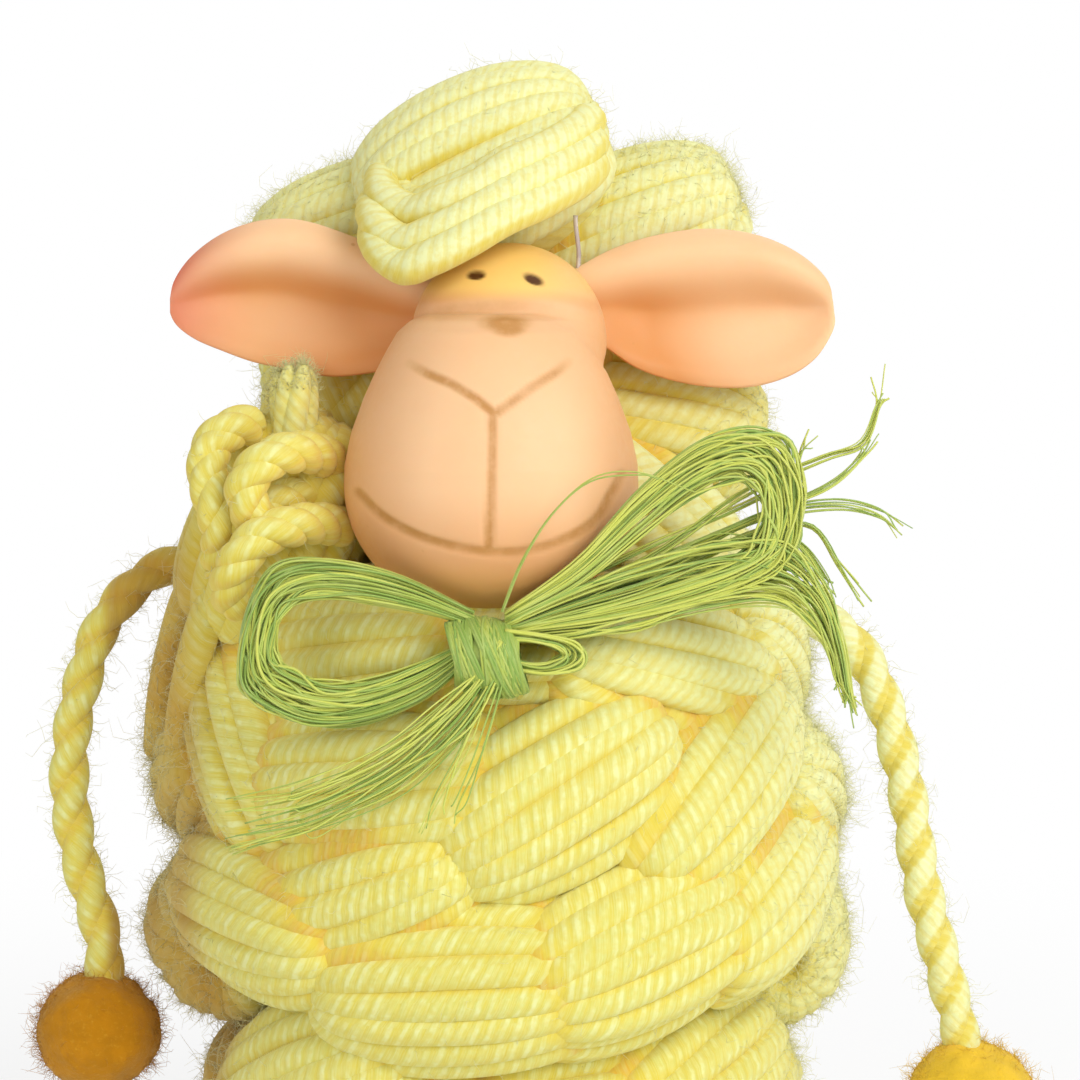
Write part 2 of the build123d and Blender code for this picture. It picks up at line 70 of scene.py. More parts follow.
class SheepSizes(bpy.types.PropertyGroup):
    """Sizes a maker would change."""

    strand_radius: a_length("Strand radius", 0.003, "Half the thickness of one strand of yarn")
    strand_pitch: a_length("Strand twist", 0.0084, "Length of one full turn of the plies of a strand")
    strand_spacing: a_length("Strand spacing", 0.0039, "Distance from one strand of a hank to the next")
    fuzz_length: a_length("Fuzz length", 0.0023, "Length of the short loose hairs on the yarn")
    fuzz_count: IntProperty(name="Fuzz per hank", description="Short loose hairs on each hank", default=2000)
    fibre_radius: a_length("Fibre radius", 0.00021, "Half the thickness of one fibre of the bow")
    arm_ply_radius: a_length("Arm strand radius", 0.0023, "Half the thickness of each strand of an arm")
    arm_pitch: a_length("Arm twist", 0.0155, "Length of one full turn of the strands of an arm")


class SheepColours(bpy.types.PropertyGroup):
    """Colours a maker would change."""

    yarn_pale: a_colour("Yarn, pale", 0.67, 0.645, 0.15, "Outside of the strands")
    # Painted shade between the plies and where the yarn is less lit, and a colour it drifts to at random
    yarn_mid_and_shade: a_colour("Yarn, mid", 0.73, 0.58, 0.055, "Between the plies")
    # Painted shade down in the gaps between the hanks
    yarn_gap_shade: a_colour("Yarn, deep", 0.72, 0.36, 0.02, "Down in the gaps between the hanks")
    # Painted amber shade on the left of the body
    yarn_shade: a_colour("Yarn, amber side", 0.46, 0.23, 0.02, "Strands on the left of the body")
    # Painted highlights on the crests of the plies
    yarn_glint: a_colour("Yarn, highlights", 0.80, 0.81, 0.37, "Crests of the plies")
    # Painted light high up and on the right hand side
    yarn_lit_side: a_colour("Yarn, airy side", 0.83, 0.88, 0.55, "Strands high up and on the right")
    yarn_hair: a_colour("Yarn, loose hairs", 0.74, 0.73, 0.48, "Hairs that stand off the yarn")
    clay_light: a_colour("Clay, light", 0.87, 0.55, 0.30, "Glazed clay of face and ears")
    # Painted shade on face and ears, and a colour the clay drifts to at random
    clay_warm_and_shade: a_colour("Clay, warm", 0.70, 0.30, 0.09, "Where the glaze lies thicker")
    # Painted bounce light from the yellow yarn on forehead and chin
    clay_yarn_bounce: a_colour("Clay, golden", 0.93, 0.60, 0.15, "Forehead and chin beside the yarn")
    clay_line: a_colour("Clay, drawn lines", 0.48, 0.21, 0.038, "Mouth and nose lines")
    ear_tip: a_colour("Ear tip", 0.62, 0.16, 0.09, "Blush on the tip of an ear")
    sisal_light: a_colour("Fibre, light", 0.58, 0.62, 0.09, "Palest fibres of the bow")
    sisal_deep: a_colour("Fibre, deep", 0.17, 0.34, 0.04, "Deepest fibres of the bow")
    felt_orange: a_colour("Felt, orange", 0.56, 0.23, 0.005, "Ball on the left hand side")
    felt_gold: a_colour("Felt, gold", 0.88, 0.57, 0.035, "Ball on the right hand side")


# Camera: where it stands and what it looks at, so that a pixel of the photograph has a place
photo_size = 1080
camera_distance = 0.6
camera_elevation = math.radians(4)
camera_target = Vector((0.0064, 0, 0.112))
camera_sensor = 36.0
pixel_at_target = 0.00016
camera_lens = camera_sensor * camera_distance / (photo_size * pixel_at_target)
camera_back = Vector((0, -math.cos(camera_elevation), math.sin(camera_elevation)))
camera_place = camera_target + camera_back * camera_distance
camera_up = Vector((0, math.sin(camera_elevation), math.cos(camera_elevation)))


def at_pixel(px, py, forward):
    """The point on the upright plane Y = -forward that the photograph shows at a pixel."""
    half = photo_size / 2
    ray = (
        -camera_back * camera_distance
        + Vector((1, 0, 0)) * (px - half) * pixel_at_target
        + camera_up * (half - py) * pixel_at_target
    )
    reach = (-forward - camera_place.y) / ray.y
    return camera_place + ray * reach


def pixels_of(points):
    """Where the photograph's camera sees points, as an array of pixel pairs."""
    off = np.asarray(points) - np.array(camera_place)
    depth = -(off @ np.array(camera_back))
    scale = camera_distance / depth / pixel_at_target
    half = photo_size / 2
    return np.stack([half + off[:, 0] * scale, half - off @ np.array(camera_up) * scale], axis=1)


# The hanks, as the solids have them, in millimetres and shares of them
body_half_width, body_half_depth = 41.0, 34.5
body_waist_height, body_rise, body_drop = 60.0, 74.0, 56.0
hank_half_length, hank_half_girth = 20.5, 16.5
head_radius = 23.0
head_centre = np.array([0, 3.0, 140.0])

# Body hanks by row: azimuth, share of the rise or drop from the waist, tilt, length share, girth share
collar_shares = [
    (-64, 0.50, -35, 0.85, 0.85), (-30, 0.49, 8, 0.95, 0.85), (2, 0.50, 0, 0.85, 0.82),
    (37, 0.45, -14, 1.05, 0.88), (80, 0.44, -30, 0.88, 0.80), (128, 0.56, 12, 1.05, 1.0),
    (180, 0.57, -10, 1.05, 1.0), (232, 0.56, 12, 1.05, 1.0),
]
chest_shares = [
    (-58, 0.30, -60, 1.05, 0.95), (-24, 0.23, 4, 1.0, 0.95), (11, 0.22, 30, 1.0, 1.0),
    (46, 0.21, 40, 1.0, 0.92), (90, 0.13, -25, 1.0, 0.9), (137, 0.22, -12, 1.15, 1.05),
    (182, 0.22, 14, 1.15, 1.05), (227, 0.22, -12, 1.15, 1.05), (268, 0.20, 20, 1.0, 0.95),
]
belly_shares = [
    (-52, -0.06, -8, 1.0, 0.95), (-27, 0.03, 18, 0.95, 0.9), (-8, -0.21, 4, 1.1, 0.95),
    (27, -0.13, 20, 1.0, 0.98), (62, -0.02, 30, 0.95, 0.92), (108, -0.18, 12, 1.1, 1.0),
    (156, -0.15, -10, 1.15, 1.05), (204, -0.15, 12, 1.15, 1.05), (258, -0.15, -10, 1.1, 0.98),
]
hem_shares = [
    (-46, -0.58, 26, 1.05, 1.02), (-12, -0.70, 0, 1.0, 1.0), (18, -0.66, 8, 1.0, 1.0),
    (52, -0.60, 18, 1.05, 1.02), (108, -0.66, -10, 1.2, 1.05), (178, -0.66, 8, 1.2, 1.05),
    (248, -0.66, -8, 1.2, 1.05),
]

# Head hanks: name, azimuth and elevation from the head's middle, distance share, tilt, length share and
# girth share
head_shares = [
    ("hair_hank_top", -10, 70, 1.36, 24, 0.95, 1.02),
    ("hair_hank_left", -82, 42, 1.26, 18, 0.85, 0.80),
    ("hair_hank_right", 86, 42, 1.22, 22, 0.9, 0.92),
    ("cheek_hank_right", 74, -20, 1.16, -12, 0.85, 0.80),
    ("cheek_hank_left", -74, -16, 1.06, 50, 0.8, 0.78),
    ("shoulder_hank_left", -57, -32, 2.06, 62, 0.9, 0.84),
    ("shoulder_hank_right", 56, -42, 1.52, -40, 0.85, 0.74),
    ("hair_hank_crown", 170, 42, 1.14, 10, 1.1, 1.0),
    ("hair_hank_back_left", 226, -12, 1.08, 16, 1.1, 1.02),
    ("hair_hank_back_right", 138, -12, 1.08, -16, 1.1, 1.02),
]


def facing(azimuth, elevation=0):
    """Unit vector outwards. Azimuth 0 is the front, +90 the right hand side."""
    a, e = math.radians(azimuth), math.radians(elevation)
    return np.array([math.sin(a) * math.cos(e), -math.cos(a) * math.cos(e), math.sin(e)])


def strand_direction(azimuth, tilt):
    """Unit vector along a hank's strands, level at no tilt."""
    a, t = math.radians(azimuth), math.radians(tilt)
    return np.array([math.cos(a) * math.cos(t), math.sin(a) * math.cos(t), math.sin(t)])


def list_hanks():
    """Each hank's name, middle, strand and outward directions, half length and half girth, in metres."""
    hanks = []
    rows = [("collar", collar_shares), ("chest", chest_shares), ("belly", belly_shares), ("hem", hem_shares)]
    for row_name, row_shares in rows:
        for number, (azimuth, height_share, tilt, length_share, girth_share) in enumerate(row_shares, 1):
            span = body_rise if height_share > 0 else body_drop
            height = body_waist_height + height_share * span
            share = math.sqrt(1 - height_share ** 2)
            out = facing(azimuth)
            middle = np.array([body_half_width * share * out[0], body_half_depth * share * out[1], height])
            lean = facing(azimuth, 45 * height_share)
            hanks.append([
                f"{row_name}_hank_{number}", middle * mm, strand_direction(azimuth, tilt), lean,
                hank_half_length * length_share * mm, hank_half_girth * girth_share * mm,
            ])
    for name, azimuth, elevation, distance_share, tilt, length_share, girth_share in head_shares:
        out = facing(azimuth, elevation)
        middle = head_centre + out * head_radius * distance_share
        level = azimuth if abs(azimuth) > 90 else 0
        hanks.append([
            name, middle * mm, strand_direction(level, tilt), out,
            hank_half_length * length_share * mm, hank_half_girth * girth_share * mm,
        ])
    return hanks


def unit(vectors):
    """Vectors made one long."""
    return vectors / np.maximum(np.linalg.norm(vectors, axis=-1, keepdims=True), 1e-12)


def smooth_step(values, low, high):
    """0 up to low, 1 from high on and a soft rise between them."""
    share = np.clip((values - low) / (high - low), 0, 1)
    return share * share * (3 - 2 * share)


def spline(points, count):
    """A smooth line through control points, for many lines at once. points is (line, point, 3)."""
    points = np.asarray(points, float)
    before = 2 * points[:, :1] - points[:, 1:2]
    beyond = 2 * points[:, -1:] - points[:, -2:-1]
    ends = np.concatenate([before, points, beyond], axis=1)
    spans = points.shape[1] - 1
    place = np.linspace(0, spans - 1e-6, count)
    index = place.astype(int)
    t = (place - index)[None, :, None]
    a, b, c, d = (ends[:, index + k] for k in range(4))
    return 0.5 * (
        2 * b + (c - a) * t + (2 * a - 5 * b + 4 * c - d) * t ** 2 + (3 * b - a - 3 * c + d) * t ** 3
    )


def steady_frames(paths):
    """Side and up along each path, without twist."""
    tangents = unit(np.gradient(paths, axis=1))
    sides = np.empty_like(paths)
    sides[:, 0] = unit(np.cross(tangents[:, 0], np.array([0.31, 0.17, 0.93])))
    for step in range(1, paths.shape[1]):
        before = sides[:, step - 1]
        now = tangents[:, step]
        sides[:, step] = unit(before - now * np.sum(before * now, axis=1, keepdims=True))
    return sides, np.cross(tangents, sides)


def run_along(paths):
    """The distance from the start of each path to each of its points."""
    spans = np.linalg.norm(np.diff(paths, axis=-2), axis=-1)
    return np.concatenate([np.zeros((*spans.shape[:-1], 1)), np.cumsum(spans, axis=-1)], axis=-1)


def grid_faces(index):
    """Faces between the points of grids whose rows close on themselves."""
    after = np.roll(index, -1, axis=-1)
    corners = (index[..., :-1, :], after[..., :-1, :], after[..., 1:, :], index[..., 1:, :])
    return np.stack(corners, axis=-1).reshape(-1, 4)


def corner_places(first, after, low, high):
    """Coordinates of the corners of such faces, round a tube and along it."""
    corners = [(first, low), (after, low), (after, high), (first, high)]
    return np.stack([np.stack(pair, axis=-1) for pair in corners], axis=-2).reshape(-1, 2)


def set_value(mesh, name, values):
    """Gives each point of a mesh a value that its material reads."""
    mesh.attributes.new(name, "FLOAT", "POINT").data.foreach_set("value", np.asarray(values, np.float32))


class Tubes:
    """Gathers many closed tubes for one mesh."""

    def __init__(self):
        self.points, self.quads, self.fans, self.uvs = [], [], [], []
        self.values = {"tone": [], "shade": [], "relief": []}
        self.count = 0

    def add_form(self, points, quads, fans, uvs, tone, shade=0.5, relief=1.0):
        """Adds closed forms: points, faces, end caps, coordinates and the values their material reads."""
        self.points.append(points)
        self.quads.append(quads + self.count)
        self.fans.extend(fan + self.count for fan in fans)
        self.uvs.append(uvs)
        for key, value in (("tone", tone), ("shade", shade), ("relief", relief)):
            self.values[key].append(np.broadcast_to(value, len(points)))
        self.count += len(points)

    def add(
        self, paths, radii, sides, pitch=0.0, tone=1.0, shade=0.5, phase=0.0, outward=None, relief=1.0,
        drift=0.0,
    ):
        """Adds tubes. radii and tone are (line, point) or plain, shade and phase are (line,) or plain.

        outward points to the open air along each line, and the colour is darkened with painted shade where a
        tube faces away from it. relief is 1 for a strand and nearer 0 for a loose hair. The coordinates run
        once round a tube and count its turns of twist, or its length where it has none.
        """
        lines, steps = paths.shape[:2]
        grid = (lines, steps, sides)
        side, up = steady_frames(paths)
        run = run_along(paths)
        turns = run / pitch + drift if pitch else run
        ring = np.arange(sides) * 2 * math.pi / sides
        radius = np.broadcast_to(radii, (lines, steps))[..., None]
        points = (
            paths[:, :, None]
            + side[:, :, None] * (np.cos(ring) * radius)[..., None]
            + up[:, :, None] * (np.sin(ring) * radius)[..., None]
        )
        index = np.arange(lines * steps * sides).reshape(grid)
        around = np.broadcast_to(np.arange(sides) / sides + np.reshape(phase, (-1, 1, 1)), grid)[:, :-1]
        along = np.broadcast_to(turns[..., None], grid)
        lit_shares = np.broadcast_to(np.broadcast_to(tone, (lines, steps))[..., None], grid)
        if outward is not None:
            facing_air = np.sum(unit(points - paths[:, :, None]) * outward[:, :, None], axis=-1)
            lit_shares = lit_shares * (0.3 + 0.7 * smooth_step(facing_air, 0.45, 0.93))
        self.add_form(
            points.reshape(-1, 3), grid_faces(index), [*index[:, 0, ::-1], *index[:, -1]],
            corner_places(around, around + 1 / sides, along[:, :-1], along[:, 1:]), lit_shares.reshape(-1),
            np.broadcast_to(np.reshape(shade, (-1, 1, 1)), grid).reshape(-1), relief,
        )
        return points

    def mesh(self, name):
        """One smooth mesh object of all that was gathered, at the origin."""
        points, quads, uvs = (np.concatenate(parts) for parts in (self.points, self.quads, self.uvs))
        sizes = np.array([4] * len(quads) + [len(fan) for fan in self.fans])
        starts = np.concatenate([[0], np.cumsum(sizes)[:-1]])
        corners = np.concatenate([quads.ravel(), *self.fans])
        mesh = bpy.data.meshes.new(name)
        mesh.vertices.add(len(points))
        mesh.vertices.foreach_set("co", np.asarray(points, np.float32).ravel())
        mesh.loops.add(len(corners))
        mesh.loops.foreach_set("vertex_index", corners.astype(np.int32))
        mesh.polygons.add(len(sizes))
        mesh.polygons.foreach_set("loop_start", starts.astype(np.int32))
        mesh.polygons.foreach_set("use_smooth", np.ones(len(sizes), bool))
        places = np.zeros((len(corners), 2), np.float32)
        places[:len(uvs)] = uvs
        mesh.uv_layers.new(name="strand_uv").data.foreach_set("uv", places.ravel())
        for key, parts in self.values.items():
            set_value(mesh, key, np.concatenate(parts))
        mesh.update(calc_edges=True)
        mesh.validate()
        piece = bpy.data.objects.new(name, mesh)
        bpy.context.scene.collection.objects.link(piece)
        return piece


# Materials
def feed(tree, socket, value):
    """Links another socket to a socket, or gives it a plain value."""
    if isinstance(value, bpy.types.NodeSocket):
        tree.links.new(value, socket)
    else:
        socket.default_value = value


def feed_all(tree, node, values):
    for key, value in values.items():
        feed(tree, node.inputs[key], value)


def new_node(tree, kind, values=(), **settings):
    """A node with its settings, and with values or links for its inputs."""
    node = tree.nodes.new(f"ShaderNode{kind}")
    for key, value in settings.items():
        setattr(node, key, value)
    feed_all(tree, node, dict(values))
    return node


def group_node(tree, group, values):
    """Places an effect in a material, with its own values or links, and gives what it puts out."""
    return new_node(tree, "Group", values, node_tree=group).outputs


def new_group(name, inputs, outputs):
    """An empty effect group. inputs are label: default, None for a colour, and outputs label: kind."""
    group = bpy.data.node_groups.new(name, "ShaderNodeTree")
    for label, default in inputs.items():
        kind = "NodeSocketColor" if default is None else "NodeSocketFloat"
        socket = group.interface.new_socket(label, in_out="INPUT", socket_type=kind)
        if default is not None:
            socket.default_value = default
    for label, kind in outputs.items():
        group.interface.new_socket(label, in_out="OUTPUT", socket_type=kind)
    return group, group.nodes.new("NodeGroupInput").outputs, group.nodes.new("NodeGroupOutput").inputs


def paint(tree, drawn, *layers):
    """A colour with others laid over it, each as a mask and a colour."""
    for mask, over in layers:
        drawn = new_node(tree, "Mix", {0: mask, 6: drawn, 7: over}, data_type="RGBA").outputs[2]
    return drawn


def maths(tree, operation, *values, clamp=False):
    return new_node(tree, "Math", enumerate(values), operation=operation, use_clamp=clamp).outputs[0]


def product(tree, *values):
    """Values and sockets multiplied together."""
    total = values[0]
    for value in values[1:]:
        total = maths(tree, "MULTIPLY", total, value)
    return total


def remap(tree, value, low, high, to_low=0.0, to_high=1.0):
    """A value stretched softly from one range to another."""
    values = enumerate((value, low, high, to_low, to_high))
    return new_node(tree, "MapRange", values, interpolation_type="SMOOTHSTEP").outputs[0]


def attribute(tree, name):
    return new_node(tree, "Attribute", attribute_name=name).outputs["Fac"]


def object_place(tree):
    return new_node(tree, "TexCoord").outputs["Object"]


def noise(tree, place, scale, detail=3.0, roughness=0.55):
    values = {"Vector": place, "Scale": scale, "Detail": detail, "Roughness": roughness}
    return new_node(tree, "TexNoise", values).outputs["Fac"]


def mottle_group():
    """Soft uneven colour: a base colour that drifts towards a second one."""
    group, enter, leave = new_group(
        "Uneven dye", {"Colour": None, "Second": None, "Scale": 60.0, "Amount": 0.4},
        {"Colour": "NodeSocketColor", "Mask": "NodeSocketFloat"},
    )
    drift = remap(group, noise(group, object_place(group), enter["Scale"], 4.0, 0.5), 0.35, 0.7)
    strength = product(group, drift, enter["Amount"])
    feed(group, leave["Colour"], paint(group, enter["Colour"], (strength, enter["Second"])))
    feed(group, leave["Mask"], drift)
    return group


def strand_place(tree):
    """The share round a strand and the turns along it, as two values."""
    uv = new_node(tree, "UVMap", uv_map="strand_uv").outputs[0]
    split = new_node(tree, "SeparateXYZ", {0: uv}).outputs
    return split[0], split[1]


def ply_group():
    """The plies twisted into a strand: 1 on the crest of each and 0 in the groove beside it."""
    group, enter, leave = new_group(
        "Twisted plies", {"Plies": 4.0, "Unevenness": 0.2}, {"Crest": "NodeSocketFloat"},
    )
    around, turns = strand_place(group)
    place = product(group, maths(group, "ADD", around, turns), enter["Plies"])
    drift = maths(group, "SUBTRACT", noise(group, object_place(group), 220, 2.0), 0.5)
    wobble = product(group, drift, enter["Unevenness"])
    angle = product(group, maths(group, "ADD", place, wobble), 2 * math.pi)
    feed(group, leave["Crest"], maths(group, "MULTIPLY_ADD", maths(group, "COSINE", angle), 0.5, 0.5))
    return group


def fibre_group():
    """Fine fibres that run along a strand, or along its plies, as a height and a mask."""
    group, enter, leave = new_group(
        "Strand fibres", {"Around": 14.0, "Along": 260.0, "Lay": 0.0},
        {"Height": "NodeSocketFloat", "Mask": "NodeSocketFloat"},
    )
    around, along = strand_place(group)
    twisted_round = maths(group, "MULTIPLY_ADD", along, enter["Lay"], around)
    place = new_node(group, "CombineXYZ", {
        0: product(group, twisted_round, enter["Around"]),
        1: product(group, along, enter["Along"]),
        2: attribute(group, "shade"),
    }).outputs[0]
    fine = noise(group, place, 1.6, 4.0, 0.6)
    feed(group, leave["Height"], fine)
    feed(group, leave["Mask"], remap(group, fine, 0.38, 0.66))
    return group


def new_material(name):
    material = bpy.data.materials.new(name)
    material.use_nodes = True
    return material, material.node_tree, material.node_tree.nodes["Principled BSDF"]


def dye(tree, groups, colour, second, scale, amount):
    """An uneven colour, and the mask of where it drifts to the second one."""
    values = {"Colour": colour, "Second": second, "Scale": scale, "Amount": amount}
    return group_node(tree, groups["mottle"], values)


def bump(tree, shader, height, strength, distance):
    values = {"Height": height, "Strength": strength, "Distance": distance}
    feed(tree, shader.inputs["Normal"], new_node(tree, "Bump", values).outputs[0])


def place_mask(tree, axes, low, high):
    """0 to 1 across the figure along a direction, from the object's own coordinates."""
    dot = new_node(tree, "VectorMath", {0: object_place(tree), 1: axes}, operation="DOT_PRODUCT")
    return remap(tree, dot.outputs["Value"], low, high)


def yarn_material(colours, groups):
    """Soft plied yarn, pale outside, painted shade golden between the plies and deep in the gaps."""
    material, tree, shader = new_material("plied yarn")
    place = object_place(tree)
    tone, shade, relief = (attribute(tree, name) for name in ("tone", "shade", "relief"))
    crest = group_node(tree, groups["ply"], {"Plies": 4.0, "Unevenness": 0.6})["Crest"]
    fibres = group_node(tree, groups["fibre"], {"Around": 26.0, "Along": 2.6, "Lay": 1.0})

    # Painted light: paler high up and along the right hand side
    lit = place_mask(tree, (0.6, 0, 0.7), 0.05, 0.12)
    edge = place_mask(tree, (1, 0, 0), 0.036, 0.056)
    pale = maths(tree, "MULTIPLY_ADD", edge, 0.6, product(tree, lit, 0.8))

    # Painted highlights on the crests of the plies and painted shade in their grooves, fibre streaks painted
    # paler where lit, and woolly patches
    ply_groove_shade = maths(tree, "MULTIPLY", remap(tree, crest, 0.0, 0.5, 0.4, 0), relief, clamp=True)
    bright = remap(tree, tone, 0.1, 0.9, 0.3, 1)
    patchy = remap(tree, noise(tree, place, 300, 2.0), 0.38, 0.62, 0.15, 0.9)
    ply_crest_highlight = product(tree, remap(tree, crest, 0.45, 0.95), patchy, bright)
    fibre_glint = product(tree, fibres["Mask"], bright, 0.45)
    woolly = product(tree, remap(tree, noise(tree, place, 800), 0.4, 0.66), 0.3)

    # Painted amber shade on the left of the body, below the head and short of the arm
    left = place_mask(tree, (-0.9, 0.45, 0), 0.025, 0.035)
    low = place_mask(tree, (0, 0, -1), -0.128, -0.104)
    body = remap(tree, place_mask(tree, (-1, 0, 0), 0.0605, 0.064), 0, 1, 1, 0)
    cloudy = remap(tree, noise(tree, place, 70, 2.0), 0.3, 0.7, 0.65, 0.95)

    drawn = paint(
        tree, dye(tree, groups, colours.yarn_pale, colours.yarn_mid_and_shade, 120.0, 0.35)["Colour"],
        (product(tree, shade, 0.22), colours.yarn_mid_and_shade),
        (pale, colours.yarn_lit_side),
        # Painted shade where the yarn is less lit, deepest down in the gaps
        (remap(tree, tone, 0.85, 0.35, 0, 0.9), colours.yarn_mid_and_shade),
        (remap(tree, tone, 0.34, 0.04, 0, 0.8), colours.yarn_gap_shade),
        (ply_groove_shade, colours.yarn_mid_and_shade),
        (ply_crest_highlight, colours.yarn_glint),
        (fibre_glint, colours.yarn_glint),
        (woolly, colours.yarn_mid_and_shade),
        (product(tree, left, low, body, cloudy), colours.yarn_shade),
        (product(tree, remap(tree, relief, 0, 1, 1, 0), 0.75), colours.yarn_hair),
    )
    feed_all(tree, shader, {
        "Base Color": drawn, "Roughness": 1.0, "Specular IOR Level": 0.05, "Sheen Weight": 0.5,
        "Sheen Roughness": 0.7, "Sheen Tint": (1.0, 0.95, 0.5, 1),
    })
    height = maths(tree, "MULTIPLY_ADD", fibres["Height"], 0.9, maths(tree, "POWER", crest, 0.6))
    bump(tree, shader, product(tree, height, relief), 0.35, 0.0003)
    return material


def clay_material(colours, groups):
    """Glazed clay with drawn lines, blush, a few specks, painted shade and painted bounce light from the
    yarn.
    """
    material, tree, shader = new_material("glazed clay")
    place = object_place(tree)
    cell = new_node(tree, "TexVoronoi", {"Vector": place, "Scale": 210}).outputs["Distance"]
    rare = remap(tree, noise(tree, place, 130, 1.0), 0.6, 0.68)
    faint = remap(tree, noise(tree, place, 480), 0.3, 0.6, 0.7, 1)
    drawn = paint(
        tree, dye(tree, groups, colours.clay_light, colours.clay_warm_and_shade, 70.0, 0.10)["Colour"],
        # Painted shade
        (attribute(tree, "warm_and_shade"), colours.clay_warm_and_shade),
        (attribute(tree, "blush"), colours.ear_tip),
        # Painted bounce light from the yellow yarn
        (attribute(tree, "gold"), colours.clay_yarn_bounce),
        (product(tree, remap(tree, cell, 0.10, 0.03), rare, 0.4), colours.clay_line),
        (product(tree, attribute(tree, "line"), faint), colours.clay_line),
        (attribute(tree, "eye"), (0.085, 0.028, 0.004, 1)),
    )
    feed_all(tree, shader, {
        "Base Color": drawn, "Roughness": remap(tree, noise(tree, place, 900, 2.0), 0.3, 0.7, 0.48, 0.6),
        "Specular IOR Level": 0.3, "Subsurface Weight": 0.25, "Subsurface Radius": (1.0, 0.45, 0.25),
        "Subsurface Scale": 0.003, "Coat Weight": 0.06, "Coat Roughness": 0.45,
    })
    bump(tree, shader, noise(tree, place, 260, 4.0), 0.10, 0.0006)
    return material


def sisal_material(colours, groups):
    """Dyed plant fibre, each one its own green."""
    material, tree, shader = new_material("dyed sisal")
    fibres = group_node(tree, groups["fibre"], {"Around": 4.0, "Along": 160.0})
    drawn = paint(
        tree, colours.sisal_deep,
        (remap(tree, attribute(tree, "shade"), 0.0, 0.7, 0.12, 1), colours.sisal_light),
        (product(tree, fibres["Mask"], 0.35), (0.70, 0.75, 0.28, 1)),
        # Painted shade, dark green, where the fibres are less lit
        (remap(tree, attribute(tree, "tone"), 0.6, 0.1, 0, 0.7), (0.05, 0.20, 0.03, 1)),
    )
    feed_all(tree, shader, {"Base Color": drawn, "Roughness": 0.5, "Sheen Weight": 0.1})
    bump(tree, shader, fibres["Height"], 0.2, 0.0001)
    return material


def felt_material(name, colour, groups):
    """Matted wool, one colour that drifts a little."""
    material, tree, shader = new_material(name)
    place = object_place(tree)
    darker = [channel * 0.7 for channel in colour[:3]] + [1]
    hair = remap(tree, noise(tree, place, 1500, 5.0, 0.7), 0.52, 0.74)
    drawn = paint(
        tree, dye(tree, groups, colour, darker, 240.0, 0.5)["Colour"],
        (product(tree, hair, 0.22), (0.95, 0.62, 0.08, 1)),
    )
    feed_all(tree, shader, {
        "Base Color": drawn, "Roughness": 0.96, "Specular IOR Level": 0.1, "Sheen Weight": 0.4,
        "Sheen Tint": (1, 0.8, 0.4, 1),
    })
    bump(tree, shader, noise(tree, place, 1100, 6.0, 0.75), 0.55, 0.0006)
    return material


def stuffing_material(groups):
    """Woven cloth skin of the stuffed body."""
    material, tree, shader = new_material("stuffed cloth")
    dyed = dye(tree, groups, (0.74, 0.46, 0.08, 1), (0.6, 0.3, 0.03, 1), 90.0, 0.6)
    weave = new_node(tree, "TexWave", {"Vector": object_place(tree), "Scale": 420, "Distortion": 1.5})
    feed_all(tree, shader, {"Base Color": dyed["Colour"], "Roughness": 0.95})
    bump(tree, shader, weave.outputs["Fac"], 0.5, 0.0003)
    return material


def dowel_material(groups):
    """Plain pale wood."""
    material, tree, shader = new_material("beech dowel")
    dyed = dye(tree, groups, (0.62, 0.42, 0.22, 1), (0.46, 0.27, 0.12, 1), 300.0, 0.7)
    feed_all(tree, shader, {"Base Color": dyed["Colour"], "Roughness": 0.6})
    bump(tree, shader, dyed["Mask"], 0.2, 0.0002)
    return material


def thread_material(groups):
    """Clear thread with a little grey in it."""
    material, tree, shader = new_material("clear thread")
    dyed = dye(tree, groups, (0.60, 0.50, 0.48, 1), (0.78, 0.70, 0.62, 1), 500.0, 1.0)
    feed_all(tree, shader, {"Base Color": dyed["Colour"], "Roughness": 0.15, "Transmission Weight": 0.35})
    return material


def seen_directly(tree):
    """1 for what the camera or a glossy surface sees and 0 for light that falls on other things."""
    ways = new_node(tree, "LightPath").outputs
    return maths(tree, "MAXIMUM", ways["Is Camera Ray"], ways["Is Glossy Ray"])


def floor_material():
    """Pale paper that keeps the figure's shadow near it and is plain white to the camera further out."""
    material, tree, shader = new_material("pale floor")
    feed_all(tree, shader, {"Base Color": (0.95, 0.95, 0.95, 1), "Roughness": 1})
    glow = new_node(tree, "Emission", {"Color": (1, 1, 1, 1), "Strength": 1})
    reach = new_node(tree, "VectorMath", {0: object_place(tree)}, operation="LENGTH").outputs["Value"]
    glowing = product(tree, seen_directly(tree), remap(tree, reach, 0.08, 0.42, 0.72, 1.0))
    mixer = new_node(tree, "MixShader", {0: glowing, 1: shader.outputs[0], 2: glow.outputs[0]})
    feed(tree, tree.nodes["Material Output"].inputs["Surface"], mixer.outputs[0])
    return material


def finish_piece(piece, material, slot, *nodes, body="figure"):
    """Gives a piece its finish, hides the solids it stands for and hangs it on what it moves with."""
    piece.data.materials.clear()
    piece.data.materials.append(material)
    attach(piece, body)
    if nodes:
        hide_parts(*nodes)


def add_primitive(add, name, **settings):
    """A plain form under the piece's name, and the only one chosen."""
    bpy.ops.object.select_all(action="DESELECT")
    add(**settings)
    piece = bpy.context.active_object
    piece.name = piece.data.name = name
    return piece


def shape_points(piece):
    """The points of a piece's mesh as an array."""
    points = np.empty(len(piece.data.vertices) * 3)
    piece.data.vertices.foreach_get("co", points)
    return points.reshape(-1, 3)


def set_points(piece, points):
    piece.data.vertices.foreach_set("co", np.asarray(points, np.float32).ravel())
    piece.data.update()


def box_corners(node):
    """The low and the high corner of a solid's box."""
    return (np.array(corner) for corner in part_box(node))


materials = {}


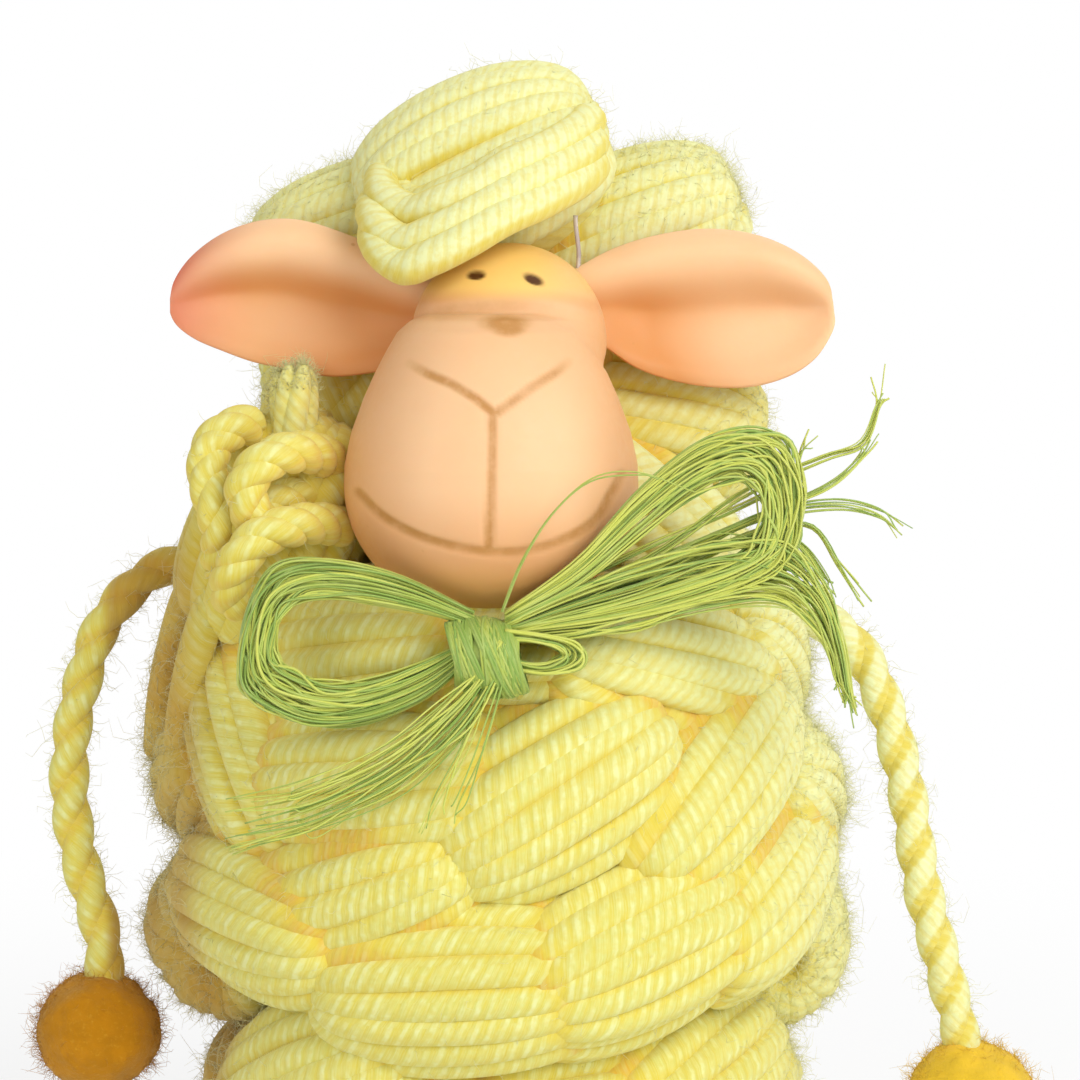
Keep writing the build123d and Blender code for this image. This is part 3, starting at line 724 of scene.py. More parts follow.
class SHEEP_OT_materials(bpy.types.Operator):
    """Make the finishes"""

    bl_idname = "sheep.materials"
    bl_label = "Materials"

    def execute(self, context):
        colours = context.scene.sheep_colours
        groups = {"mottle": mottle_group(), "fibre": fibre_group(), "ply": ply_group()}
        materials["yarn"] = yarn_material(colours, groups)
        materials["clay"] = clay_material(colours, groups)
        materials["sisal"] = sisal_material(colours, groups)
        materials["felt_orange"] = felt_material("orange felt", colours.felt_orange, groups)
        materials["felt_gold"] = felt_material("gold felt", colours.felt_gold, groups)
        materials["stuffing"] = stuffing_material(groups)
        materials["dowel"] = dowel_material(groups)
        materials["thread"] = thread_material(groups)
        for node, slot in (("body_core", "stuffing"), ("head_core", "stuffing"), ("neck_dowel", "dowel")):
            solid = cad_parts[node]
            solid.data.materials.clear()
            solid.data.materials.append(materials[slot])
        return {"FINISHED"}


def wander(rng, lines, steps, waves=3):
    """Slow uneven drift along each line, about -1 to 1."""
    place = np.linspace(0, 1, steps)[None]
    total = np.zeros((lines, steps))
    for wave in range(1, waves + 1):
        total += rng.normal(0, 1 / wave, (lines, 1)) * np.sin(
            math.pi * wave * place + rng.uniform(0, 2 * math.pi, (lines, 1))
        )
    return total / 1.6


# Loose hairs: half their thickness, and the shares of their length at which they bend, with the taper there
hair_radius = 0.037 * mm
hair_stops = (-0.06, 0.3, 0.65, 1.0)
hair_taper = (1.0, 0.95, 0.8, 0.35)


def add_fuzz(tubes, rng, roots, normals, count, length, lying=0.45, facing_way=None, relief=0.0):
    """Loose curly hairs that stand off a surface, most of them at the outline as seen from in front."""
    outer = normals if facing_way is None else facing_way
    chance = 0.01 + (1 - np.abs(outer[:, 1])) ** 3 + 0.3 * np.maximum(outer[:, 1], 0)
    count = int(count * min(1.3, 2.6 * chance.mean()))
    chosen = rng.choice(len(roots), count, p=chance / chance.sum())
    start, normal = roots[chosen], normals[chosen]
    flat = rng.uniform(size=(count, 1)) < lying
    out = unit(normal * np.where(flat, 0.35, 1) + rng.normal(0, 1, (count, 3)) * np.where(flat, 0.7, 0.5))
    out = unit(out + normal * np.maximum(0.12 - np.sum(out * normal, axis=1, keepdims=True), 0))
    bend = unit(np.cross(out, rng.normal(0, 1, (count, 3))))
    sideways = np.cross(out, bend)
    reach = length * rng.uniform(0.25, 1.1, (count, 1)) * np.where(rng.uniform(size=(count, 1)) > 0.9, 2.0, 1)
    turn = rng.uniform(2.0, 5.5, (count, 1))
    curl = rng.uniform(0.2, 0.6, (count, 1)) * np.where(flat, 0.4, 1)
    start_angle = rng.uniform(0, 2 * math.pi, (count, 1))
    stops = []
    for share in hair_stops:
        angle = start_angle + turn * share
        swing_one = bend * (np.cos(angle) - np.cos(start_angle))
        swing_two = sideways * (np.sin(angle) - np.sin(start_angle))
        stops.append(start + (out * share + (swing_one + swing_two) * curl) * reach)
    taper = hair_radius * np.array(hair_taper)[None] * np.ones((count, 1))
    tubes.add(np.stack(stops, axis=1), taper, 3, shade=0.0, relief=relief)


def twisted(line, strands, offset, pitch, rng):
    """The middle lines of strands that wind round one line."""
    side, up = steady_frames(line[None])
    drift = 0.3 * wander(rng, 1, len(line))[0]
    paths = []
    for strand in range(strands):
        angle = drift + run_along(line) / pitch * 2 * math.pi + strand * 2 * math.pi / strands
        paths.append(line + offset * (np.cos(angle)[:, None] * side[0] + np.sin(angle)[:, None] * up[0]))
    return np.array(paths)


def crevice_shade(points, own, hanks):
    """Painted shade between hanks: 1 on a hank's open outside, falling towards 0 where a neighbour presses on
    it.
    """
    tone = np.ones(len(points))
    for name, middle, along, _, half_length, half_girth in hanks:
        if name == own:
            continue
        off = points - middle
        length_wise = off @ along
        across = np.sqrt(np.maximum(np.sum(off ** 2, axis=1) - length_wise ** 2, 0))
        nearness = np.sqrt((length_wise / half_length) ** 2 + (across / half_girth) ** 2)
        tone = np.minimum(tone, 0.1 + 0.9 * smooth_step(nearness, 0.92, 1.12))
    return tone


# Hanks whose strands are thicker or thinner than the rest, and hanks that lie in the others' shade
thickness_shares = {"shoulder_hank_left": 1.1, "cheek_hank_left": 1.1, "cheek_hank_right": 0.95}
shaded_hanks = {"shoulder_hank_left": 0.5, "cheek_hank_left": 0.55, "cheek_hank_right": 0.62}
# How full a hank stays towards its ends: 1 for a spindle, nearer 0 for a drum
hank_fullness = 0.58
# How far round a hank and how far towards its ends its strands go, in degrees either way
strand_spread, strand_swing = 112, 86
# How far back a hank lies behind, and so is made plainer
behind_depth = 12 * mm

# Loose strands that lie over a hank, as pixels of their middle lines and how far forward, by hank:
# the lowest strands of the top hank, which swing across the forehead, with more behind them that fill
# the roll, the ropes on the left shoulder and the strands that bulge out under them
over_strands = {
    "hair_hank_top": [
        [(384, 204, 10), (376, 240, 27), (402, 266, 33), (430, 258, 35.5), (466, 240, 36), (505, 217, 34.5),
         (545, 199, 31), (586, 174, 24), (600, 148, 16)],
        [(384, 178, 8), (374, 216, 25), (402, 242, 31), (436, 232, 33.5), (470, 216, 34), (508, 194, 32.5),
         (548, 174, 29), (586, 150, 23), (598, 124, 16)],
        [(394, 150, 6), (382, 190, 22), (412, 212, 28), (444, 202, 31), (478, 188, 31.5), (512, 166, 30),
         (550, 148, 26.5), (584, 126, 21), (594, 106, 15)],
        [(388, 190, 6), (384, 226, 22), (406, 252, 27), (434, 244, 29), (468, 227, 29), (506, 205, 28),
         (546, 186, 25), (580, 162, 19), (590, 136, 12)],
        [(394, 164, 4), (388, 203, 19), (410, 226, 25), (440, 216, 27), (474, 201, 27.5), (510, 179, 26),
         (549, 160, 23), (580, 138, 17), (588, 114, 11)],
        [(400, 150, 3), (394, 184, 16), (418, 204, 22), (448, 194, 25), (480, 180, 25.5), (512, 160, 24),
         (548, 142, 21), (576, 122, 16), (584, 106, 10)],
    ],
    "collar_hank_1": [
        [(214, 556, 20), (190, 596, 19), (174, 650, 16), (164, 705, 12), (160, 770, 2)],
        [(232, 570, 26), (209, 612, 26), (194, 660, 23), (184, 715, 19), (178, 775, 8)],
    ],
    "shoulder_hank_left": [
        [(338, 468, 24), (322, 456, 31), (294, 452, 37), (264, 462, 39.5), (246, 486, 39.5), (252, 514, 38),
         (270, 530, 35)],
        [(350, 532, 26), (326, 524, 33), (292, 526, 39), (260, 538, 41), (238, 562, 41), (230, 590, 38),
         (244, 616, 34)],
        [(262, 424, 24), (234, 428, 29), (212, 446, 31), (208, 476, 33), (216, 508, 35), (222, 540, 34),
         (214, 572, 29)],
        [(330, 488, 24), (308, 492, 28), (282, 500, 32), (262, 512, 34), (236, 524, 34), (214, 540, 31)],
    ],
}


def lobe_filling(middle, along, out, across, half_length, girth):
    """A closed egg inside a hank that shows between its strands, coloured in painted shade."""
    rings, sides = 15, 26
    swing = np.linspace(-math.pi / 2 + 0.02, math.pi / 2 - 0.02, rings)[:, None]
    turn = np.linspace(0, 2 * math.pi, sides, endpoint=False)[None]
    points = (
        middle
        + along * (half_length * np.sin(swing) + 0 * turn)[..., None]
        + out * (girth * np.cos(swing) ** hank_fullness * np.cos(turn))[..., None]
        + across * (girth * np.cos(swing) ** hank_fullness * np.sin(turn))[..., None]
    )
    index = np.arange(rings * sides).reshape(rings, sides)
    first, down = np.meshgrid(np.arange(sides) * 6 / sides, np.arange(rings - 1) * 5 / rings)
    uvs = corner_places(first, first + 6 / sides, down, down + 5 / rings)
    return points.reshape(-1, 3), grid_faces(index), [index[0, ::-1], index[-1]], uvs, 0.5


def lay_over(tubes, rng, name, row, radius, pitch):
    """Lays a loose strand, or a rope of three, over a hank and gives the roots and ways of its hairs."""
    steps = 96
    line = spline([[at_pixel(px, py, forward * mm) for px, py, forward in row]], steps)
    thick, tone = radius * 0.95, 1.0
    if name == "shoulder_hank_left":
        line = twisted(line[0], 3, radius * 0.36, 12 * mm, rng)
        # The ropes are darkened with painted shade
        thick, tone = radius * 0.64, 0.66
    ends = np.clip(np.minimum(np.linspace(0, 12, steps), np.linspace(12, 0, steps)), 0.3, 1)[None]
    points = tubes.add(
        line, thick * ends, 14, pitch=pitch, tone=tone, shade=rng.uniform(0, 0.5, len(line)),
        outward=np.broadcast_to([0, -0.9, 0.4], line.shape), drift=0.1 * wander(rng, len(line), steps, 5),
    )
    around = unit(points - line[:, :, None])
    return points[:, 8:-8].reshape(-1, 3), around[:, 8:-8].reshape(-1, 3)


class SHEEP_OT_fleece(bpy.types.Operator):
    """Lay the strands of every hank of yarn"""

    bl_idname = "sheep.fleece"
    bl_label = "Fleece"

    def execute(self, context):
        sizes = context.scene.sheep_sizes
        hanks = list_hanks()
        for number, (name, middle, along, out, half_length, half_girth) in enumerate(hanks):
            rng = np.random.default_rng(100 + number)
            across = unit(np.cross(out, along))
            out = np.cross(along, across)
            radius = sizes.strand_radius * thickness_shares.get(name, 1.0)
            behind = middle[1] > behind_depth
            sides, steps = (8, 26) if behind else (10, 32)
            ring = half_girth - radius + 0.3 * mm
            spread = math.radians(strand_spread)
            lines = int(round(2 * spread * ring / sizes.strand_spacing))

            # Where each strand lies round the hank, along it and out from its middle
            spot = np.linspace(-spread, spread, lines)[:, None]
            swing = np.radians(np.linspace(-strand_swing, strand_swing, steps))[None]
            side = spot + 0.045 * wander(rng, lines, steps) + rng.normal(0, 0.02, (lines, 1))
            reach = (half_length - radius * 0.4) * np.sin(swing) + 0.3 * mm * rng.normal(0, 1, (lines, 1))
            lift = rng.normal(0, 0.15 * mm, (lines, 1)) + 0.3 * mm * wander(rng, lines, steps)
            girth = ring * np.cos(swing) ** hank_fullness + lift
            radial = out * np.cos(side)[..., None] + across * np.sin(side)[..., None]
            paths = middle + along * reach[..., None] + radial * girth[..., None]
            outward = unit(radial + along * (0.7 * np.sin(swing))[..., None])
            thinning = np.clip(np.cos(swing) * 2.4, 0.45, 1) ** 0.5
            thickness = radius * rng.uniform(0.92, 1.06, (lines, 1)) * thinning
            thickness = thickness * (1 + 0.05 * wander(rng, lines, steps, 6))
            # Painted shade where a neighbour presses on the strands, and on hanks in the others' shade
            tone = crevice_shade(paths.reshape(-1, 3), name, hanks).reshape(lines, steps)
            tone = tone * shaded_hanks.get(name, 1.0)
            tubes = Tubes()
            points = tubes.add(
                paths, thickness, sides, pitch=sizes.strand_pitch, tone=tone, outward=outward,
                shade=rng.uniform(0, 1, lines), phase=rng.uniform(0, 1, lines),
                drift=0.1 * wander(rng, lines, steps, 5),
            )
            tubes.add_form(*lobe_filling(middle, along, out, across, half_length * 0.95, ring + 0.8 * mm))

            # Hairs stand on the open side of the strands and all round those laid over them
            normals = unit(points - paths[:, :, None])
            open_air = (tone[..., None] > 0.3) & (np.sum(normals * outward[:, :, None], axis=-1) > 0)
            roots, ways = points[open_air], normals[open_air]
            for row in over_strands.get(name, []):
                more_roots, more_ways = lay_over(tubes, rng, name, row, radius, sizes.strand_pitch)
                roots = np.concatenate([roots, more_roots])
                ways = np.concatenate([ways, more_ways])
            if name.startswith(("hair", "cheek", "shoulder")):
                facing_way = unit(roots - head_centre * mm)
            else:
                facing_way = unit(roots * np.array([1 / body_half_width, 1 / body_half_depth, 0]))
            hairs = sizes.fuzz_count // 2 if behind else sizes.fuzz_count
            add_fuzz(tubes, rng, roots, ways, hairs, sizes.fuzz_length, facing_way=facing_way)
            finish_piece(tubes.mesh(f"{name}_strands"), materials["yarn"], "yarn", name)
        return {"FINISHED"}


# The face: its forms in metres, and how far out its clay is looked for
face_origin = Vector((0.4 * mm, -28 * mm, 131 * mm))
muzzle_middle = np.array([-1.0, -31.0, 122.6]) * mm
muzzle_radius, muzzle_rise, muzzle_drop = 22.3 * mm, 26.2 * mm, 20.0 * mm
muzzle_rise_shares = [0, 0.12, 0.3, 0.5, 0.65, 0.78, 0.88, 0.95, 0.985, 1.0]
muzzle_width_shares = [1, 0.995, 0.95, 0.865, 0.785, 0.705, 0.635, 0.545, 0.42, 0.0]
forehead_middle = np.array([1.6, -24.0, 144.2]) * mm
forehead_radius = 15.0 * mm
brow_softness = 2.4 * mm
farthest_clay = 50 * mm

# What is drawn on its front, by pixels. Routes have a strength at each point, and ovals a middle, half
# width, half height and tilt
nose_pixels = [
    [(410, 364, 0.25), (428, 374, 0.9), (452, 384, 0.85), (475, 398, 0.95), (492, 412, 0.9)],
    [(568, 362, 0.2), (556, 372, 0.75), (530, 388, 0.6), (497, 412, 0.8)],
    [(492, 412, 0.9), (491, 480, 0.8), (489, 548, 0.95)],
]
smile_pixels = [
    (358, 492, 0.75), (385, 518, 0.95), (430, 540, 0.9), (489, 552, 0.8), (540, 548, 0.7), (590, 525, 0.8),
    (612, 492, 0.9), (622, 474, 0.6),
]
line_half_width_pixels, band_half_width_pixels, brow_half_width_pixels = 4.2, 6.5, 5.0
eye_pixels = [((476.0, 274.8), 9.2, 4.4, -4), ((533.5, 279.0), 10.2, 4.8, 22)]
smudge_pixels = [((505, 323), 22, 8), ((509, 329), 15, 7)]
# Where painted shade lies along the crease under the brow's edge, by pixels
brow_crease_shade_pixels = [(414, 300, 0.8), (450, 296, 1), (504, 293, 0.8), (560, 297, 0.7), (594, 306, 0.5)]
band_pixels = [(440, 313, 0.6), (462, 309, 1), (500, 306, 1), (530, 307, 0.8), (560, 311, 0.2)]


def face_distance(points):
    """How far points lie outside the face: two rounded forms that melt into each other."""
    off = points - muzzle_middle
    across = np.hypot(off[:, 0], off[:, 1])
    width = np.interp(off[:, 2] / muzzle_rise, muzzle_rise_shares, muzzle_width_shares)
    upper = (across - muzzle_radius * width) * 0.85
    upper = np.maximum(upper, off[:, 2] - muzzle_rise)
    lower = (np.sqrt((across / muzzle_radius) ** 2 + (off[:, 2] / muzzle_drop) ** 2) - 1) * muzzle_radius
    muzzle = np.where(off[:, 2] > 0, upper, lower)
    forehead = np.linalg.norm(points - forehead_middle, axis=1) - forehead_radius
    blend = np.clip(0.5 + 0.5 * (forehead - muzzle) / brow_softness, 0, 1)
    return forehead + (muzzle - forehead) * blend - brow_softness * blend * (1 - blend) * 0.5


def line_mask(seen, route, half_width):
    """The strength of a drawn line, by distance in pixels from its route."""
    mask = np.zeros(len(seen))
    for first, last in zip(route, route[1:]):
        start, end = np.array(first[:2], float), np.array(last[:2], float)
        run = end - start
        share = np.clip((seen - start) @ run / (run @ run), 0, 1)
        away = np.linalg.norm(seen - start - share[:, None] * run, axis=1)
        strength = first[2] + (last[2] - first[2]) * share
        mask = np.maximum(mask, strength * (1 - smooth_step(away, half_width * 0.35, half_width * 1.7)))
    return mask


def smooth_route(route):
    """A pixel route with more points, so that it bends softly."""
    return [tuple(point) for point in spline(np.array([route], float), len(route) * 6)[0]]


def oval_mask(seen, middle, half_width, half_height, tilt=0, soft=0.35):
    """1 inside an oval on the photograph, with a soft edge."""
    angle = math.radians(tilt)
    off = seen - np.array(middle)
    across = off[:, 0] * math.cos(angle) + off[:, 1] * math.sin(angle)
    down = -off[:, 0] * math.sin(angle) + off[:, 1] * math.cos(angle)
    away = np.sqrt((across / half_width) ** 2 + (down / half_height) ** 2)
    return 1 - smooth_step(away, 1 - soft, 1 + soft)


def strongest(masks):
    """The highest of several masks at each point."""
    return np.max(list(masks), axis=0)


class SHEEP_OT_face(bpy.types.Operator):
    """Mould the face and draw its lines"""

    bl_idname = "sheep.face"
    bl_label = "Face"

    def execute(self, context):
        piece = add_primitive(
            bpy.ops.mesh.primitive_uv_sphere_add, "moulded_face", segments=240, ring_count=190,
            radius=muzzle_radius,
        )
        ways = unit(shape_points(piece))
        origin = np.array(face_origin)

        # Halve the reach that holds the clay's surface on each way out, until it is found
        inner, outer = np.zeros(len(ways)), np.full(len(ways), farthest_clay)
        for _ in range(22):
            middle = (inner + outer) / 2
            inside = face_distance(origin + ways * middle[:, None]) < 0
            inner, outer = np.where(inside, middle, inner), np.where(inside, outer, middle)
        points = origin + ways * inner[:, None]
        seen = pixels_of(points)
        px, py = seen[:, 0], seen[:, 1]
        front = ways[:, 1] < 0.15

        # What is drawn: lines, eyes, the smudge of the nose and the band of the brow, and the painted shade
        # along the brow's edge
        routes = nose_pixels + [smooth_route(smile_pixels)]
        line = front * strongest(line_mask(seen, route, line_half_width_pixels) for route in routes)
        eye = front * strongest(oval_mask(seen, *oval) for oval in eye_pixels)
        smudge = front * strongest(oval_mask(seen, *oval, soft=0.5) for oval in smudge_pixels)
        band = front * line_mask(seen, smooth_route(band_pixels), band_half_width_pixels)
        brow_crease_shade = front * line_mask(seen, smooth_route(brow_crease_shade_pixels), brow_half_width_pixels)

        # Painted shade, warmer in colour: low down, to both sides and along the brow's edge, and warmer up on
        # the muzzle
        warm_and_shade = 0.8 * smooth_step(py, 480, 600) + 0.5 * smooth_step(-px, -440, -340)
        warm_and_shade += 0.5 * smooth_step(px, 560, 640) + 0.2 * smooth_step(-py, -420, -320) + 0.35 * brow_crease_shade
        # Painted bounce light from the yellow yarn: golden on the forehead, less so to the right, and a
        # little on the chin
        gold = smooth_step(-py, -306, -284) * (0.85 - 0.35 * smooth_step(px, 520, 580))
        gold += 0.25 * smooth_step(py, 555, 600)

        points -= ways * (line * 0.28 * mm + eye * 0.2 * mm)[:, None]
        set_points(piece, points)
        set_value(piece.data, "line", strongest([line * 0.92, smudge * 0.8, band * 0.34]))
        set_value(piece.data, "eye", eye)
        set_value(piece.data, "warm_and_shade", np.clip(warm_and_shade, 0, 0.9))
        set_value(piece.data, "gold", np.clip(gold, 0, 1))
        set_value(piece.data, "blush", 0 * px)
        bpy.ops.object.shade_smooth()
        finish_piece(piece, materials["clay"], "clay", "face")
        return {"FINISHED"}


# Ears: outlines by pixel from root to tip, upper edge and lower edge, and how far forward they stand
ear_left_upper = [
    (450, 284), (416, 270), (370, 247), (335, 233), (307, 224), (281, 221), (252, 225), (222, 237),
    (195, 257), (177, 280), (169, 300),
]
ear_left_lower = [
    (440, 352), (404, 366), (366, 374), (335, 377), (305, 374), (279, 368), (252, 362), (222, 351),
    (196, 340), (178, 327), (169, 312),
]
ear_right_upper = [
    (572, 272), (612, 252), (655, 238), (702, 231), (750, 236), (790, 252), (820, 276), (834, 303),
]
ear_right_lower = [
    (602, 345), (640, 370), (692, 385), (745, 388), (786, 378), (814, 360), (830, 336), (835, 316),
]
ear_wall = 1.8 * mm

# Section of an ear from its upper to its lower edge, and how far each place lies back, in millimetres:
# a rolled upper edge, a crease under it and a bowl that comes forward to the lower edge
ear_section_shares = [0, 0.08, 0.18, 0.30, 0.40, 0.48, 0.60, 0.75, 0.90, 1.0]
ear_section_back = [2.6, 0.6, -0.5, 0.2, 2.6, 4.4, 4.2, 2.8, 1.0, 1.2]
ear_forward = 21 * mm
ear_along_count, ear_across_count = 60, 34


def ear_section(places):
    """How far back an ear lies at shares of the way from its upper to its lower edge, with soft bends."""
    fine = np.linspace(0, 1, 200)
    section = np.interp(fine, ear_section_shares, ear_section_back)
    soft = np.exp(-np.linspace(-3, 3, 61) ** 2)
    section = np.convolve(np.pad(section, 30, mode="edge"), soft / soft.sum(), mode="valid")
    return np.interp(places, fine, section)


class SHEEP_OT_ears(bpy.types.Operator):
    """Mould the two cupped ears"""

    bl_idname = "sheep.ears"
    bl_label = "Ears"

    def execute(self, context):
        sides = (("left", ear_left_upper, ear_left_lower), ("right", ear_right_upper, ear_right_lower))
        for side_name, upper, lower in sides:
            piece = add_primitive(
                bpy.ops.mesh.primitive_grid_add, f"moulded_ear_{side_name}", size=2,
                x_subdivisions=ear_along_count, y_subdivisions=ear_across_count,
            )
            grid = shape_points(piece)
            along, across = (grid[:, 0] + 1) / 2, grid[:, 1]
            edges = []
            for route in (upper, lower):
                line = spline([[at_pixel(px, py, ear_forward) for px, py in route]], 200)[0]
                reach = np.linspace(0, 1, 200)
                edges.append(np.stack([np.interp(along, reach, line[:, k]) for k in range(3)], axis=1))
            top, bottom = edges
            share = (across + 1) / 2
            down = 1 - share
            rounded = 0.5 + 0.5 * np.sin((share - 0.5) * math.pi * 0.96) / math.sin(math.pi * 0.48)
            points = bottom + (top - bottom) * (0.6 * share + 0.4 * rounded)[:, None]
            open_up = 0.25 + 0.75 * smooth_step(along, 0.0, 0.22)
            close = 1 - smooth_step(along, 0.62, 0.97)
            points[:, 1] += ear_section(down) * open_up * close * mm
            points[:, 1] += 2.2 * mm * smooth_step(along, 0.6, 1.0)
            set_points(piece, points)

            # Painted shade, warmer in colour, in the crease, at the root and along the lower edge, and over
            # the whole left ear, which is lighter towards its upper edge; the rim blushes
            crease = np.exp(-((down - 0.42) / 0.12) ** 2) * smooth_step(along, 0.0, 0.3) * close
            root = (1 - smooth_step(along, 0.05, 0.5)) * smooth_step(down, 0.15, 0.6)
            rim = smooth_step(np.abs(across), 0.94, 1.0)
            low_edge = smooth_step(-across, 0.45, 1.0) * (1 - smooth_step(along, 0.4, 0.8))
            if side_name == "left":
                upper_edge = smooth_step(share, 0.72, 1.0) * smooth_step(along, 0.45, 0.85)
                warm_and_shade = 0.5 + 0.45 * crease + 0.45 * root + 0.35 * low_edge
                warm_and_shade -= 0.55 * smooth_step(share, 0.55, 0.8)
                blush = 0.75 * smooth_step(along, 0.55, 0.95) + 0.35 * upper_edge + 0.25 * rim
            else:
                tip = smooth_step(along, 0.74, 1.0) * smooth_step(share, 0.1, 0.7)
                warm_and_shade = 0.4 * crease + 1.3 * root + 0.25 * low_edge
                blush = 0.06 * tip + 0.3 * rim
            for key in ("line", "eye", "gold"):
                set_value(piece.data, key, 0 * along)
            set_value(piece.data, "warm_and_shade", np.clip(warm_and_shade, 0, 0.95))
            set_value(piece.data, "blush", np.clip(blush, 0, 1))

            wall = piece.modifiers.new("wall", "SOLIDIFY")
            wall.thickness = ear_wall
            wall.offset = 0
            wall.use_even_offset = False
            round_off = piece.modifiers.new("round", "SUBSURF")
            round_off.levels = round_off.render_levels = 1
            bpy.ops.object.modifier_apply(modifier="wall")
            bpy.ops.object.modifier_apply(modifier="round")
            bpy.ops.object.mode_set(mode="EDIT")
            bpy.ops.mesh.select_all(action="SELECT")
            bpy.ops.mesh.normals_make_consistent(inside=False)
            bpy.ops.object.mode_set(mode="OBJECT")
            bpy.ops.object.shade_smooth()
            finish_piece(piece, materials["clay"], "clay", f"ear_{side_name}")
        return {"FINISHED"}


# The bow, by bundles of fibres. Each runs between two pixel routes, and has a count of fibres, how far
# forward and how deep it lies in millimetres, and whether its far end is loose
bow_bundles = {
    "loop_left": [(
        [(474, 612), (400, 577), (335, 563), (285, 566), (258, 592), (244, 640), (243, 682), (264, 706),
         (310, 722), (362, 722), (424, 698), (478, 652)],
        [(474, 626), (425, 612), (370, 600), (320, 597), (290, 607), (276, 630), (278, 655), (294, 672),
         (330, 684), (374, 680), (422, 662), (474, 638)],
        100, 48, 1.5, False,
    )],
    "loop_right": [(
        [(505, 612), (575, 560), (640, 490), (700, 446), (750, 432), (785, 446), (801, 490), (797, 540),
         (775, 575), (700, 604), (610, 622), (510, 634)],
        [(505, 622), (575, 588), (640, 538), (690, 497), (730, 478), (752, 484), (762, 508), (758, 535),
         (740, 556), (690, 577), (610, 602), (510, 626)],
        90, 48, 1.7, False,
    ), (
        [(505, 624), (570, 590), (640, 566), (720, 540), (786, 548), (826, 590), (842, 640), (850, 690),
         (858, 716)],
        [(505, 642), (570, 640), (640, 628), (715, 606), (775, 600), (808, 622), (828, 655), (836, 680),
         (842, 700)],
        60, 48, 1.7, True,
    )],
    "tail_left": [(
        [(500, 640), (478, 668), (440, 706), (380, 748), (300, 782), (214, 800)],
        [(505, 644), (496, 684), (462, 738), (400, 790), (320, 832), (230, 856)],
        36, 52, 1.1, True,
    ), (
        [(500, 644), (480, 690), (452, 750), (424, 800), (396, 840)],
        [(508, 648), (500, 690), (486, 745), (468, 800), (455, 850)],
        7, 52, 0.8, True,
    )],
    "tail_right": [(
        [(505, 612), (640, 560), (740, 492), (820, 456), (860, 441), (876, 405), (881, 366)],
        [(505, 616), (640, 566), (740, 498), (822, 462), (864, 446), (880, 407), (885, 372)],
        7, 45, 0.5, True,
    ), (
        [(505, 616), (640, 575), (740, 522), (790, 506), (840, 500), (880, 510), (906, 528)],
        [(505, 620), (640, 582), (740, 528), (792, 512), (842, 507), (878, 516), (900, 534)],
        7, 44.5, 0.5, True,
    ), (
        [(505, 612), (640, 545), (740, 502), (788, 472), (800, 446), (815, 420)],
        [(505, 616), (640, 552), (738, 510), (790, 480), (804, 452), (818, 424)],
        4, 45, 0.5, True,
    ), (
        [(505, 620), (640, 582), (750, 532), (808, 522), (840, 560), (866, 600)],
        [(505, 624), (640, 590), (750, 540), (806, 530), (834, 566), (858, 606)],
        6, 44.5, 0.6, True,
    ), (
        [(505, 618), (650, 565), (760, 530), (800, 538), (828, 572), (846, 612)],
        [(505, 622), (650, 572), (758, 538), (796, 546), (820, 580), (838, 618)],
        6, 44, 0.6, True,
    ), (
        [(505, 614), (640, 560), (780, 502), (830, 478), (856, 452), (860, 420)],
        [(505, 618), (640, 568), (780, 510), (834, 486), (866, 456), (884, 432)],
        5, 45, 0.6, True,
    ), (
        [(505, 630), (640, 610), (760, 590), (810, 610), (846, 660), (866, 730)],
        [(505, 634), (640, 616), (760, 600), (806, 622), (836, 664), (852, 720)],
        8, 44, 0.6, True,
    )],
    "wisp": [(
        [(500, 612), (522, 560), (552, 512), (592, 478), (640, 472), (702, 492)],
        [(504, 612), (525, 560), (555, 513), (594, 480), (640, 475), (700, 495)],
        2, 53, 0.2, True,
    )],
    "lump": [(
        [(505, 630), (540, 634), (572, 642), (586, 655), (576, 668), (545, 674), (510, 668), (490, 652)],
        [(505, 640), (530, 642), (552, 646), (562, 654), (556, 660), (540, 664), (516, 660), (500, 650)],
        40, 49, 2.4, False,
    )],
}
fibre_wobble = 0.32 * mm


def between_routes(rng, outer, inner, count, forward, depth, loose):
    """Many fibres, each somewhere between two pixel routes, drawn together where the routes are."""
    outer, inner = np.array(outer, float), np.array(inner, float)
    steps = 5 * len(outer)
    lane = rng.uniform(0, 1, (count, 1, 1))
    belly = np.sin(np.linspace(0, math.pi, len(outer)))[None, :, None]
    drift = rng.normal(0, 0.10, (count, len(outer), 1)) * belly
    pixels = outer[None] + (inner - outer)[None] * np.clip(lane + drift, -0.15, 1.15)
    if loose:
        last = pixels[:, -2] + (pixels[:, -1] - pixels[:, -2]) * rng.uniform(0.1, 1.05, (count, 1))
        pixels[:, -1] = last + rng.normal(0, 4, (count, 2))
    layer = rng.uniform(-1, 1, count) * depth * mm
    places = [
        [at_pixel(px, py, forward * mm + back) for px, py in row] for row, back in zip(pixels, layer)
    ]
    paths = spline(places, steps)
    swell = np.sin(math.pi * np.linspace(0, 1, steps)) ** 0.6
    for axis in range(3):
        paths[..., axis] += fibre_wobble * wander(rng, count, steps, 4) * swell
    return paths


